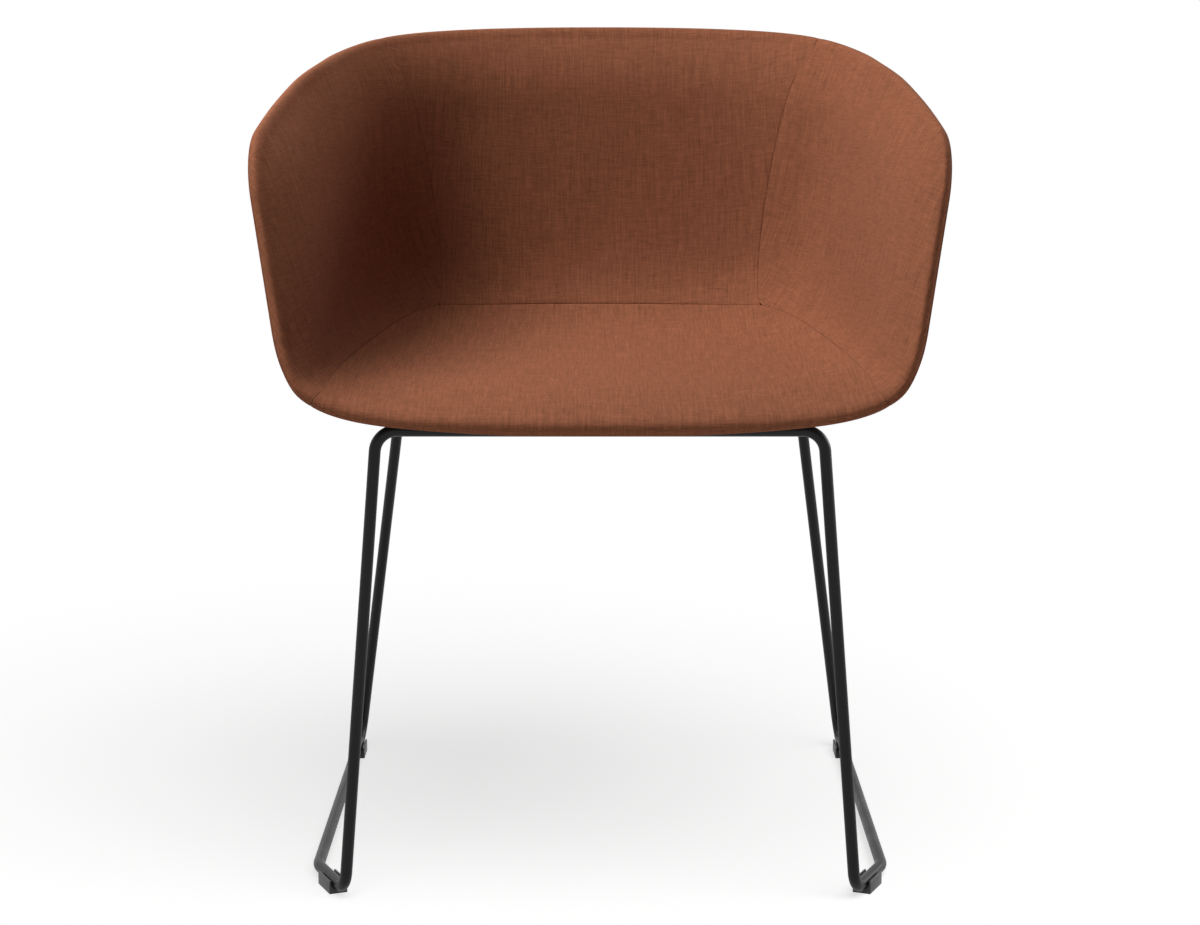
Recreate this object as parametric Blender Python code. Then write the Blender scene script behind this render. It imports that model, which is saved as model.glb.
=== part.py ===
"""Dining armchair: upholstered bucket shell on a bent steel rod sled base.

Metres, +Z up, the chair faces -Y, the origin is the middle of its footprint on the floor.
"Left" and "right" are as seen from in front of the chair.
"""
import math

import bmesh
import bpy
import numpy as np
from mathutils import Matrix, Vector

OBJECT_NAME = "dining_armchair"

# Driving sizes
WIDTH = 0.637
DEPTH = 0.575
HEIGHT = 0.784
SEAT_HEIGHT = 0.465
ROD_DIAMETER = 0.011
SHELL_THICKNESS = 0.005
FOAM_THICKNESS = 0.0185
COVER_THICKNESS = 0.0015
GAP = 0.0003
BED_GAP = 0.0005

# Upholstery edge: how far the pad rolls over the rim and how deep the seams are drawn in
EDGE_ROLL = 0.0055
ROLL_LENGTH = 0.0135
ROLL_TURN = 138.0
ROLL_START = EDGE_ROLL - ROLL_LENGTH
WALL_MARGIN = ROLL_LENGTH + 0.010
SEAM_DIP = 0.0045
SEAM_REACH = 0.016
SEAT_CROWN = 0.004
SEAM_GAP = 0.0009
SEAM_CORNER = 0.0022
LIP_HEIGHT = 0.0006

# Sled base
BAR_Z = SEAT_HEIGHT - 0.0377
FRONT_BAR_Y = -0.382 * DEPTH
REAR_BAR_Y = 0.217 * DEPTH
BAR_HALF_SPAN = 0.316 * WIDTH
TRACK_HALF = 0.4144 * WIDTH
TOE_HALF = 0.3645 * WIDTH
TOE_Y = -0.443 * DEPTH
KINK_Y = -0.313 * DEPTH
HEEL_Y = 0.503 * DEPTH
BEND_RADIUS = 0.020
TOE_RADIUS = 0.016
KINK_RADIUS = 0.045
BAR_JOINT_GAP = GAP

# Glides clipped under the rods
GLIDE_LENGTH = 0.0346
GLIDE_WIDTH = 0.0172
GLIDE_BASE = 0.0035
GLIDE_HEIGHT = 0.0122
GLIDE_EDGE = 0.0006
ROD_Z = GLIDE_BASE + GAP + ROD_DIAMETER / 2
TOE_GLIDE_OFFSET = 0.0375

# Seat fixing
STRAP_WIDTH = 0.026
STRAP_THICKNESS = 0.004
STRAP_HALF_SPACING = 0.14 * WIDTH
FIXING_INSET = 0.062
BOSS_RADIUS = 0.011
INSERT_RADIUS = 0.0045
INSERT_LENGTH = 0.0085
SCREW_RADIUS = 0.003
SCREW_LENGTH = 0.012
HEAD_RADIUS = 0.0055
HEAD_HEIGHT = 0.0032
SOCKET_RADIUS = 0.0021

# Bucket: the inner face of the moulded shell, drawn as a spine with fuller sections across it
PAD = FOAM_THICKNESS + COVER_THICKNESS + 2 * GAP
OUTSIDE = SHELL_THICKNESS + COVER_THICKNESS + GAP
FRONT_Y = -DEPTH / 2 + EDGE_ROLL + COVER_THICKNESS
BACK_Y = DEPTH / 2 - OUTSIDE - 0.0017
PAN_Z = SEAT_HEIGHT - PAD - 0.0016
TOP_Z = HEIGHT - EDGE_ROLL - COVER_THICKNESS - 0.0008
RUN = BACK_Y - FRONT_Y
RISE = TOP_Z - PAN_Z
SPINE = np.array([
    (FRONT_Y, PAN_Z),
    (FRONT_Y + 0.859 * RUN, PAN_Z),
    (FRONT_Y + 0.909 * RUN, PAN_Z - 0.128 * RISE),
    (BACK_Y, TOP_Z),
])
PIVOT = np.array((FRONT_Y + 0.341 * RUN, TOP_Z + 0.431 * RISE))
HALF_FRONT = 0.4207 * WIDTH
HALF_BACK = 0.3878 * WIDTH
HALF_WAIST = -0.0336 * WIDTH
FILLET_FRONT = 0.258 * RISE
FILLET_BACK = 0.612 * RISE
FILLET_WAIST = 0.046 * RISE
FULL_FRONT, FULL_BACK = 0.90, 0.68
FLARE_FRONT, FLARE_BACK = 0.18, 0.165
RIM_SLOPE = 0.106
RIM_CURVE = 0.238
ARM_CORNER = 0.036

# Seams as shares of the half rim (from the top of the back round to the middle of the front edge)
BACK_SEAM = 0.2156
FRONT_SEAM = 0.780
SEAM_V = 0.414
SEAM_T = 0.566
SEAM_SAG = 0.37
BACK_BOW = (-0.065, 0.1325)
SEAT_BOW = (0.133, 0.12)

# Mesh density of the bucket
BACK_STEPS = 14
ARM_STEPS = 15
TURN_WEIGHT = 0.11
WALL_ROWS = 7
ROLL_ROWS = 4

PANELS = {
    "back": (-BACK_SEAM, BACK_SEAM, BACK_STEPS),
    "left_arm": (-FRONT_SEAM, -BACK_SEAM, ARM_STEPS),
    "right_arm": (BACK_SEAM, FRONT_SEAM, ARM_STEPS),
    "seat": (FRONT_SEAM, 2 - FRONT_SEAM, BACK_STEPS),
}

FABRIC = ("fabric", (0.30, 0.115, 0.062, 1.0), 0.85, 0.0)
FOAM = ("foam", (0.80, 0.76, 0.62, 1.0), 0.95, 0.0)
SHELL = ("shell", (0.045, 0.045, 0.05, 1.0), 0.55, 0.0)
STEEL = ("powder_coat", (0.012, 0.012, 0.013, 1.0), 0.42, 0.0)
ZINC = ("zinc", (0.55, 0.55, 0.57, 1.0), 0.35, 1.0)
BRASS = ("brass", (0.70, 0.52, 0.25, 1.0), 0.35, 1.0)
GLIDE = ("glide", (0.02, 0.02, 0.022, 1.0), 0.6, 0.0)


def clear_scene():
    """Remove every object of the start scene."""
    for item in list(bpy.data.objects):
        bpy.data.objects.remove(item, do_unlink=True)


def new_collection(name):
    """Link a new collection to the scene and return it."""
    made = bpy.data.collections.new(name)
    bpy.context.scene.collection.children.link(made)
    return made


def make_material(owner, finish):
    """Return a Principled material for one part."""
    kind, colour, roughness, metallic = finish
    made = bpy.data.materials.new(f"{owner}_{kind}")
    made.use_nodes = True
    shader = made.node_tree.nodes["Principled BSDF"]
    shader.inputs["Base Color"].default_value = colour
    shader.inputs["Roughness"].default_value = roughness
    shader.inputs["Metallic"].default_value = metallic
    made.diffuse_color = colour
    return made


def add_object(name, data, finish, collection):
    """Wrap mesh or curve data in a named object with its own material."""
    made = bpy.data.objects.new(name, data)
    made.data.materials.append(make_material(name, finish))
    collection.objects.link(made)
    return made


def blend(start, end, share):
    """Linear blend."""
    return start + (end - start) * share


def bucket_point(v, t):
    """Point on the inner face of the shell.

    t runs along the spine from the front edge (0) over the seat and up the back (1).
    v runs across the section, 0 on the spine, 1 where the corner ends and the wall goes on straight.
    """
    v, t = np.broadcast_arrays(np.asarray(v, float), np.asarray(t, float))
    s = t[..., None]
    spine = ((1 - s) ** 3 * SPINE[0] + 3 * (1 - s) ** 2 * s * SPINE[1]
             + 3 * (1 - s) * s * s * SPINE[2] + s ** 3 * SPINE[3])
    inward = PIVOT - spine
    inward = inward / np.linalg.norm(inward, axis=-1, keepdims=True)
    held = np.clip(t, 0.0, 1.0)
    ease = held * held * (3 - 2 * held)
    waist = 4 * held * (1 - held)
    half = blend(HALF_FRONT, HALF_BACK, ease) + HALF_WAIST * waist
    fillet = blend(FILLET_FRONT, FILLET_BACK, ease) + FILLET_WAIST * waist
    full = blend(FULL_FRONT, FULL_BACK, ease)
    flare = blend(FLARE_FRONT, FLARE_BACK, ease)
    across = np.abs(v)
    q = np.minimum(across, 1.0)
    depth = fillet * (3 * (1 - full) * q * q * (1 - q) + q ** 3 + 3 * full * np.maximum(across - 1, 0))
    x = half * (3 * full * q * (1 - q) ** 2 + 3 * q * q * (1 - q) + q ** 3) + flare * depth
    return np.stack([np.sign(v) * x, spine[..., 0] + depth * inward[..., 0],
                     spine[..., 1] + depth * inward[..., 1]], axis=-1)


def bucket_normal(v, t):
    """Unit normal of the bucket, pointing to the sitter."""
    step = 1e-4
    along_v = bucket_point(v + step, t) - bucket_point(v - step, t)
    along_t = bucket_point(v, t + step) - bucket_point(v, t - step)
    normal = np.cross(along_v, along_t)
    return normal / np.linalg.norm(normal, axis=-1, keepdims=True)


def inside_rim(point):
    """Positive inside the rim: behind the front edge and under the arm line, with a rounded corner."""
    edge = (PIVOT - SPINE[0]) / np.linalg.norm(PIVOT - SPINE[0])
    behind = (point[..., 1] - SPINE[0][0]) * edge[1] - (point[..., 2] - SPINE[0][1]) * edge[0]
    ahead = BACK_Y - point[..., 1]
    under = TOP_Z - RIM_SLOPE * ahead - RIM_CURVE * ahead * np.abs(ahead) - point[..., 2]
    a = np.maximum(ARM_CORNER - behind, 0)
    b = np.maximum(ARM_CORNER - under, 0)
    rounded = ARM_CORNER - np.sqrt(a * a + b * b)
    return np.where((behind < ARM_CORNER) & (under < ARM_CORNER), rounded, np.minimum(behind, under))


def trace_rim(samples=1600):
    """Trace the right half of the rim from the top of the back to the middle of the front edge."""
    angle = np.linspace(0.0, math.pi, samples)
    reach_v, reach_t = 4.0 * np.sin(angle), 1.6 * np.cos(angle)
    low, high = np.zeros(samples), np.ones(samples)
    for _ in range(50):
        middle = (low + high) / 2
        inside = inside_rim(bucket_point(reach_v * middle, SEAM_T + reach_t * middle)) > 0
        low = np.where(inside, middle, low)
        high = np.where(inside, high, middle)
    v, t = reach_v * low, SEAM_T + reach_t * low
    v[0] = v[-1] = 0.0
    length = np.linalg.norm(np.diff(bucket_point(v, t), axis=0), axis=1)
    along = np.concatenate([[0.0], np.cumsum(length)])
    return along, v, t


class Bucket:
    """Pattern of the bucket: lines run from the seat seam out to the rim.

    A line is named by its share of the half rim, negative on the left.
    """

    def __init__(self):
        along, self.rim_v, self.rim_t = trace_rim()
        self.half_length = along[-1]
        self.share = along / self.half_length
        self.spread = self.measure_spread()

    def measure_spread(self):
        """Running measure of rim length plus turning, so that lines crowd where the rim bends."""
        edge = np.diff(bucket_point(self.rim_v, self.rim_t), axis=0)
        edge /= np.linalg.norm(edge, axis=1, keepdims=True)
        turn = np.arccos(np.clip(np.sum(edge[1:] * edge[:-1], axis=1), -1, 1))
        turn = np.concatenate([[0.0, 0.0], np.cumsum(turn)])
        return self.share + TURN_WEIGHT * turn

    def even_lines(self, panel, tuck):
        """Line names across a panel, kept tuck off its side seams, with an extra line close to each of them."""
        start, end, steps = PANELS[panel]
        share = np.linspace(0, 1, steps + 1)
        share = np.insert(share, [1, steps], [0.3 / steps, 1 - 0.3 / steps])
        if "arm" in panel:
            first, last = np.interp(np.abs([start, end]), self.share, self.spread)
            name = np.interp(first + (last - first) * share, self.spread, self.share)
            share = (name - abs(start)) / (abs(end) - abs(start))
        return self.wrap(start + tuck + (end - start - 2 * tuck) * share)

    def rim_uv(self, line):
        """Pattern place of a line's end on the rim."""
        size = np.abs(line)
        return np.sign(line) * np.interp(size, self.share, self.rim_v), np.interp(size, self.share, self.rim_t)

    def line_uv(self, line, s):
        """Pattern place at s (0 seam, 1 rim) along a line."""
        side, size = np.sign(line), np.abs(line)
        back = np.clip(size / BACK_SEAM, 0, 1)
        seat = np.clip((1 - size) / (1 - FRONT_SEAM), 0, 1)
        arm = np.clip((size - BACK_SEAM) / (FRONT_SEAM - BACK_SEAM), 0, 1)
        near = np.where(size < BACK_SEAM, back, np.where(size > FRONT_SEAM, seat, 1.0))
        start_v = SEAM_V * near
        start_t = SEAM_T - SEAM_SAG * start_v ** 2
        end_v, end_t = self.rim_uv(size)
        bow_v = blend(BACK_BOW[0], SEAT_BOW[0], arm) * near
        bow_t = blend(BACK_BOW[1], SEAT_BOW[1], arm) * near ** 2
        mid_v = (start_v + end_v) / 2 + bow_v
        mid_t = (start_t + end_t) / 2 + bow_t
        v = (1 - s) ** 2 * start_v + 2 * s * (1 - s) * mid_v + s * s * end_v
        t = (1 - s) ** 2 * start_t + 2 * s * (1 - s) * mid_t + s * s * end_t
        return np.where(side < 0, -v, v), t

    def rim_frame(self, lines):
        """Rim points with the directions to the sitter and out over the edge."""
        step = 4e-4
        point = bucket_point(*self.rim_uv(lines))
        ahead = bucket_point(*self.rim_uv(self.wrap(lines + step)))
        behind = bucket_point(*self.rim_uv(self.wrap(lines - step)))
        normal = bucket_normal(*self.rim_uv(lines))
        tangent = ahead - behind
        outward = np.cross(normal, tangent)
        outward /= np.linalg.norm(outward, axis=-1, keepdims=True)
        return point, normal, outward

    @staticmethod
    def wrap(lines):
        """Keep line names between -1 and 1."""
        return (lines + 1) % 2 - 1

    def rows(self, lines, start, rim_margin):
        """Points and normals along each line, from start (m off the seam) to rim_margin (m short of the rim).

        Returns arrays shaped lines x WALL_ROWS x 3 and the distance of each row from the seam.
        """
        s = np.linspace(0, 1, 121)
        v, t = self.line_uv(lines[:, None], s[None, :])
        dense = bucket_point(v, t)
        length = np.concatenate([np.zeros((len(lines), 1)),
                                 np.cumsum(np.linalg.norm(np.diff(dense, axis=1), axis=2), axis=1)], axis=1)
        share = np.linspace(0, 1, WALL_ROWS) ** 1.15
        places, distance = [], []
        for line, along in zip(lines, length):
            wanted = np.maximum(share * (along[-1] - rim_margin), start)
            places.append(self.line_uv(np.full(WALL_ROWS, line), np.interp(wanted, along, s)))
            distance.append(wanted)
        v = np.array([place[0] for place in places])
        t = np.array([place[1] for place in places])
        return bucket_point(v, t), bucket_normal(v, t), np.array(distance)


def roll_profile(thickness, grow):
    """Section of the rolled edge as (out over the rim, off the shell) pairs."""
    half = thickness / 2
    angle = np.radians(np.linspace(0, ROLL_TURN, ROLL_ROWS + 1))
    return [(ROLL_START + (ROLL_LENGTH + grow) * math.sin(a), half + (half + grow) * math.cos(a)) for a in angle]


def place_rows(frame, pairs):
    """Turn (out, off) pairs into rows of points round the rim."""
    point, normal, outward = frame
    return np.stack([point + out * outward + off * normal for out, off in pairs], axis=1)


def sheet(name, low, high, finish, collection, closed=False):
    """Solid between two sheets of points, each lines x rows: a grid is shaped, then extruded to the other side."""
    lines, rows = low.shape[:2]
    bm = bmesh.new()
    bmesh.ops.create_grid(bm, x_segments=lines - 1, y_segments=rows - 1, size=1.0)
    line_id = bm.verts.layers.int.new("line")
    row_id = bm.verts.layers.int.new("row")
    for vert in bm.verts:
        vert[line_id] = round((vert.co.x + 1) / 2 * (lines - 1))
        vert[row_id] = round((vert.co.y + 1) / 2 * (rows - 1))
        vert.co = low[vert[line_id], vert[row_id]]
    if closed:
        bmesh.ops.remove_doubles(bm, verts=bm.verts[:], dist=1e-5)
    made = bmesh.ops.extrude_face_region(bm, geom=bm.faces[:], use_keep_orig=True)
    for vert in made["geom"]:
        if isinstance(vert, bmesh.types.BMVert):
            vert.co = high[vert[line_id], vert[row_id]]
    bmesh.ops.recalc_face_normals(bm, faces=bm.faces[:])
    if bm.calc_volume(signed=True) < 0:
        bmesh.ops.reverse_faces(bm, faces=bm.faces[:])
    bmesh.ops.triangulate(bm, faces=bm.faces[:], quad_method="SHORT_EDGE")
    mesh = bpy.data.meshes.new(name)
    bm.to_mesh(mesh)
    bm.free()
    return add_object(name, mesh, finish, collection)


def panel_rows(bucket, panel):
    """Lines of one panel, kept half a seam gap off its neighbours, with their points, normals and distances."""
    lines = bucket.even_lines(panel, SEAM_GAP / 2 / bucket.half_length)
    arm = "arm" in panel
    rows = bucket.rows(lines, SEAM_CORNER if arm else SEAM_GAP / 2, WALL_MARGIN)
    return (lines, *rows)


def seam_dip(distance):
    """How far the padding is drawn in at a distance from a seam."""
    share = np.clip(1 - distance / SEAM_REACH, 0, 1)
    return SEAM_DIP * share * share


def panel_layers(bucket, panel):
    """Rows of one panel: rim frame, wall points, wall normals and padding thickness."""
    lines, point, normal, distance = panel_rows(bucket, panel)
    side = np.minimum(np.arange(len(lines)), np.arange(len(lines))[::-1])[:, None]
    off_side = np.where(side == 0, 0.0, np.where(side == 1, SEAM_REACH / 2, SEAM_REACH))
    crown = SEAT_CROWN if panel == "seat" else SEAT_CROWN / 2
    across = np.sin(np.linspace(0, math.pi, len(lines)))[:, None]
    along = np.sin(np.linspace(0, math.pi, WALL_ROWS))[None, :]
    thickness = FOAM_THICKNESS - seam_dip(np.minimum(distance, off_side + 0 * distance)) + crown * across * along
    return lines, bucket.rim_frame(lines), point, normal, thickness


def rolled_rows(frame, thickness, grow):
    """Rows of the rolled edge, thinner where a side seam crosses it."""
    columns = []
    point, normal, outward = frame
    for column, deep in enumerate(thickness[:, -1]):
        single = (point[column:column + 1], normal[column:column + 1], outward[column:column + 1])
        columns.append(place_rows(single, roll_profile(deep, grow))[0])
    return np.array(columns)


def build_padding(bucket, panel, collection):
    """Foam pad and fabric cover of one inner panel."""
    lines, frame, point, normal, thickness = panel_layers(bucket, panel)
    depth = thickness[..., None]
    under = [(out, BED_GAP) for out in np.linspace(ROLL_START, -0.0035, ROLL_ROWS + 1)]
    low = np.concatenate([point + BED_GAP * normal, place_rows(frame, under)], axis=1)
    high = np.concatenate([point + depth * normal, rolled_rows(frame, thickness, 0.0)], axis=1)
    sheet(f"{panel}_foam", low, high, FOAM, collection)
    inner = np.concatenate([point + (depth + GAP) * normal, rolled_rows(frame, thickness, GAP)], axis=1)
    grow = GAP + COVER_THICKNESS
    outer = np.concatenate([point + (depth + grow) * normal, rolled_rows(frame, thickness, grow)], axis=1)
    sheet(f"{panel}_cover", inner, outer, FABRIC, collection)


def build_outside(bucket, panel, name, collection):
    """Outer fabric panel with its lip turned over the edge of the shell."""
    lines, point, normal, _ = panel_rows(bucket, panel)
    frame = bucket.rim_frame(lines)
    near, far = -(SHELL_THICKNESS + GAP), -(SHELL_THICKNESS + GAP + COVER_THICKNESS)
    out = GAP + COVER_THICKNESS
    inner = [(ROLL_START, near), (GAP, near), (GAP, LIP_HEIGHT)]
    outer = [(ROLL_START, far), (out, far), (out, LIP_HEIGHT)]
    low = np.concatenate([point + near * normal, place_rows(frame, inner)], axis=1)
    high = np.concatenate([point + far * normal, place_rows(frame, outer)], axis=1)
    return sheet(name, low, high, FABRIC, collection)


def build_shell(bucket, collection):
    """Moulded shell: one closed sheet of lines all round the rim."""
    back, left, right, seat = [bucket.even_lines(panel, 0.0) for panel in PANELS]
    lines = np.concatenate([back, right[1:], seat[1:], left[1:]])
    point, normal, _ = bucket.rows(lines, 0.0, WALL_MARGIN)
    frame = bucket.rim_frame(lines)
    low = np.concatenate([point, place_rows(frame, [(ROLL_START, 0.0), (0.0, 0.0)])], axis=1)
    far = -SHELL_THICKNESS
    high = np.concatenate([point + far * normal, place_rows(frame, [(ROLL_START, far), (0.0, far)])], axis=1)
    return sheet("moulded_shell", low, high, SHELL, collection, closed=True)


def add_cylinder(name, radius, bottom, top, place, sides=24):
    """Mesh of an upright cylinder between two heights."""
    bm = bmesh.new()
    bmesh.ops.create_cone(bm, cap_ends=True, cap_tris=False, segments=sides, radius1=radius, radius2=radius,
                          depth=top - bottom, matrix=Matrix.Translation((place[0], place[1], (top + bottom) / 2)))
    mesh = bpy.data.meshes.new(name)
    bm.to_mesh(mesh)
    bm.free()
    return mesh


def add_cutter(name, mesh, cutters):
    """Keep a Boolean operand in the cutters collection."""
    made = bpy.data.objects.new(name, mesh)
    made.hide_render = True
    made.display_type = "WIRE"
    cutters.objects.link(made)
    return made


def boolean(target, cutter, operation):
    """Add one exact Boolean to a part."""
    step = target.modifiers.new(cutter.name, "BOOLEAN")
    step.operation = operation
    step.solver = "EXACT"
    step.object = cutter


def fixing_places():
    """Centres of the four seat screws by name."""
    rear = REAR_BAR_Y - FIXING_INSET
    front = FRONT_BAR_Y + FIXING_INSET
    side = STRAP_HALF_SPACING
    return {"front_left": (-side, front), "front_right": (side, front),
            "rear_left": (-side, rear), "rear_right": (side, rear)}


def pan_height(place):
    """Height of the shell's inner face over a plan place near the middle of the seat."""
    t = np.linspace(0, 0.5, 400)
    v = np.linspace(0, 0.6, 200)
    grid = bucket_point(v[:, None], t[None, :])
    gap = (grid[..., 0] - abs(place[0])) ** 2 + (grid[..., 1] - place[1]) ** 2
    return float(grid[np.unravel_index(np.argmin(gap), gap.shape)][2])


def build_fixings(shell, under, collection, cutters):
    """Bosses, threaded inserts, straps and screws between the shell and the sled."""
    strap_top = BAR_Z + ROD_DIAMETER / 2
    strap_bottom = strap_top - STRAP_THICKNESS
    straps = {}
    for side, sign in (("left", -1), ("right", 1)):
        straps[side] = build_strap(f"{side}_strap", sign, strap_bottom, collection)
    boss_bottom = strap_top + GAP
    insert_top = boss_bottom + INSERT_LENGTH
    for name, place in fixing_places().items():
        side = name.split("_")[1]
        pan = pan_height(place)
        boss = add_cutter(f"{name}_boss", add_cylinder("boss", BOSS_RADIUS, boss_bottom, pan - SHELL_THICKNESS / 2,
                                                       place), cutters)
        boolean(shell, boss, "UNION")
        hole = add_cutter(f"{name}_boss_hole", add_cylinder("boss_hole", BOSS_RADIUS + GAP, boss_bottom - 0.02,
                                                            pan, place), cutters)
        boolean(under, hole, "DIFFERENCE")
        pocket = add_cutter(f"{name}_pocket", add_cylinder("pocket", INSERT_RADIUS + GAP, boss_bottom - 0.02,
                                                           insert_top + GAP, place), cutters)
        boolean(shell, pocket, "DIFFERENCE")
        build_insert(f"{name}_insert", place, boss_bottom, insert_top, collection, cutters)
        clearance = add_cutter(f"{name}_strap_hole", add_cylinder("strap_hole", SCREW_RADIUS + GAP,
                                                                  strap_bottom - 0.01, strap_top + 0.01, place),
                               cutters)
        boolean(straps[side], clearance, "DIFFERENCE")
        build_screw(f"{name}_screw", place, strap_bottom - GAP, collection, cutters)


def build_strap(name, sign, bottom, collection):
    """Flat steel strap between the two crossbars, its top level with theirs."""
    clear = ROD_DIAMETER / 2 + GAP
    start, end = FRONT_BAR_Y + clear, REAR_BAR_Y - clear
    bm = bmesh.new()
    place = Matrix.Translation((sign * STRAP_HALF_SPACING, (start + end) / 2, bottom + STRAP_THICKNESS / 2))
    size = Matrix.Diagonal((STRAP_WIDTH, end - start, STRAP_THICKNESS, 1))
    bmesh.ops.create_cube(bm, size=1.0, matrix=place @ size)
    upright = [edge for edge in bm.edges if abs(edge.verts[0].co.z - edge.verts[1].co.z) > STRAP_THICKNESS / 2]
    bmesh.ops.bevel(bm, geom=upright, offset=0.003, segments=3, profile=0.5, affect="EDGES")
    mesh = bpy.data.meshes.new(name)
    bm.to_mesh(mesh)
    bm.free()
    return add_object(name, mesh, STEEL, collection)


def build_insert(name, place, bottom, top, collection, cutters):
    """Threaded bush pressed into a boss from below."""
    made = add_object(name, add_cylinder(name, INSERT_RADIUS, bottom, top, place), BRASS, collection)
    bore = add_cutter(f"{name}_bore", add_cylinder("bore", SCREW_RADIUS + GAP, bottom - 0.01, top + 0.01, place),
                      cutters)
    boolean(made, bore, "DIFFERENCE")


def build_screw(name, place, seat, collection, cutters):
    """Button head screw under a strap, its shank up through strap and insert: a turned profile with a hex socket."""
    profile = [(0.0, seat + SCREW_LENGTH), (SCREW_RADIUS * 0.8, seat + SCREW_LENGTH),
               (SCREW_RADIUS, seat + SCREW_LENGTH - 0.0006), (SCREW_RADIUS, seat), (HEAD_RADIUS, seat),
               (HEAD_RADIUS, seat - HEAD_HEIGHT * 0.35), (HEAD_RADIUS * 0.72, seat - HEAD_HEIGHT),
               (0.0, seat - HEAD_HEIGHT)]
    bm = bmesh.new()
    verts = [bm.verts.new((place[0] + radius, place[1], z)) for radius, z in profile]
    edges = [bm.edges.new(pair) for pair in zip(verts, verts[1:])]
    bmesh.ops.spin(bm, geom=verts + edges, cent=(place[0], place[1], 0), axis=(0, 0, 1), angle=math.tau, steps=20,
                   use_merge=True)
    bmesh.ops.remove_doubles(bm, verts=bm.verts[:], dist=1e-6)
    bmesh.ops.recalc_face_normals(bm, faces=bm.faces[:])
    mesh = bpy.data.meshes.new(name)
    bm.to_mesh(mesh)
    bm.free()
    made = add_object(name, mesh, ZINC, collection)
    socket = add_cutter(f"{name}_socket", add_cylinder("socket", SOCKET_RADIUS, seat - HEAD_HEIGHT - 0.01,
                                                       seat - HEAD_HEIGHT * 0.35, place, sides=6), cutters)
    boolean(made, socket, "DIFFERENCE")


def fillet_path(corners, radii, steps=7):
    """Polyline through corner points with each inner corner rounded to its radius."""
    path = [Vector(corners[0])]
    for before, here, after, radius in zip(corners, corners[1:], corners[2:], radii):
        here = Vector(here)
        back, ahead = (Vector(before) - here).normalized(), (Vector(after) - here).normalized()
        half_turn = (math.pi - back.angle(ahead)) / 2
        centre = here + (back + ahead).normalized() * radius / math.cos(half_turn)
        start = here + back * radius * math.tan(half_turn)
        arm = start - centre
        axis = back.cross(arm).normalized()
        count = max(2, round(steps * half_turn / (math.pi / 4)))
        path += [centre + Matrix.Rotation(2 * half_turn * step / count, 3, axis) @ arm for step in range(count + 1)]
    return path + [Vector(corners[-1])]


def sled_corners(sign):
    """Corner points of one half of the sled, from the front crossbar joint round to the rear one."""
    joint = sign * BAR_JOINT_GAP / 2
    return [(joint, FRONT_BAR_Y, BAR_Z), (sign * BAR_HALF_SPAN, FRONT_BAR_Y, BAR_Z),
            (sign * TOE_HALF, TOE_Y, ROD_Z), (sign * TRACK_HALF, KINK_Y, ROD_Z),
            (sign * TRACK_HALF, HEEL_Y, ROD_Z), (sign * BAR_HALF_SPAN, REAR_BAR_Y, BAR_Z),
            (joint, REAR_BAR_Y, BAR_Z)]


def build_rod(name, sign, collection):
    """One half of the sled, a single bent rod."""
    radii = [BEND_RADIUS, TOE_RADIUS, KINK_RADIUS, BEND_RADIUS, BEND_RADIUS]
    path = fillet_path(sled_corners(sign), radii)
    curve = bpy.data.curves.new(name, "CURVE")
    curve.dimensions = "3D"
    curve.bevel_depth = ROD_DIAMETER / 2
    curve.bevel_resolution = 2
    curve.use_fill_caps = True
    spline = curve.splines.new("POLY")
    spline.points.add(len(path) - 1)
    for point, place in zip(spline.points, path):
        point.co = (*place, 1.0)
    return add_object(name, curve, STEEL, collection)


def build_glide(name, middle, direction, collection, cutters):
    """Plastic glide: a channel with a round floor and two upright walls that holds the rod."""
    turn = Matrix.Rotation(math.atan2(direction.y, direction.x), 4, "Z")
    place = Matrix.Translation((middle.x, middle.y, 0)) @ turn
    bm = bmesh.new()
    size = Matrix.Diagonal((GLIDE_LENGTH, GLIDE_WIDTH, GLIDE_HEIGHT, 1))
    bmesh.ops.create_cube(bm, size=1.0, matrix=Matrix.Translation((0, 0, GLIDE_HEIGHT / 2)) @ size)
    low = [edge for edge in bm.edges if max(vert.co.z for vert in edge.verts) < GLIDE_HEIGHT / 2]
    upright = [edge for edge in bm.edges if abs(edge.verts[0].co.z - edge.verts[1].co.z) > GLIDE_HEIGHT / 2]
    bmesh.ops.bevel(bm, geom=low + upright, offset=GLIDE_EDGE, segments=2, profile=0.5, affect="EDGES")
    bmesh.ops.transform(bm, matrix=place, verts=bm.verts[:])
    mesh = bpy.data.meshes.new(name)
    bm.to_mesh(mesh)
    bm.free()
    made = add_object(name, mesh, GLIDE, collection)
    bm = bmesh.new()
    lie = Matrix.Translation((0, 0, ROD_Z)) @ Matrix.Rotation(math.pi / 2, 4, "Y")
    bmesh.ops.create_cone(bm, cap_ends=True, segments=24, radius1=ROD_DIAMETER / 2 + GAP,
                          radius2=ROD_DIAMETER / 2 + GAP, depth=GLIDE_LENGTH * 1.5, matrix=place @ lie)
    for vert in bm.verts:
        if vert.co.z > ROD_Z + GAP:
            vert.co.z += ROD_DIAMETER
    groove = bpy.data.meshes.new(f"{name}_groove")
    bm.to_mesh(groove)
    bm.free()
    boolean(made, add_cutter(f"{name}_groove", groove, cutters), "DIFFERENCE")


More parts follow.
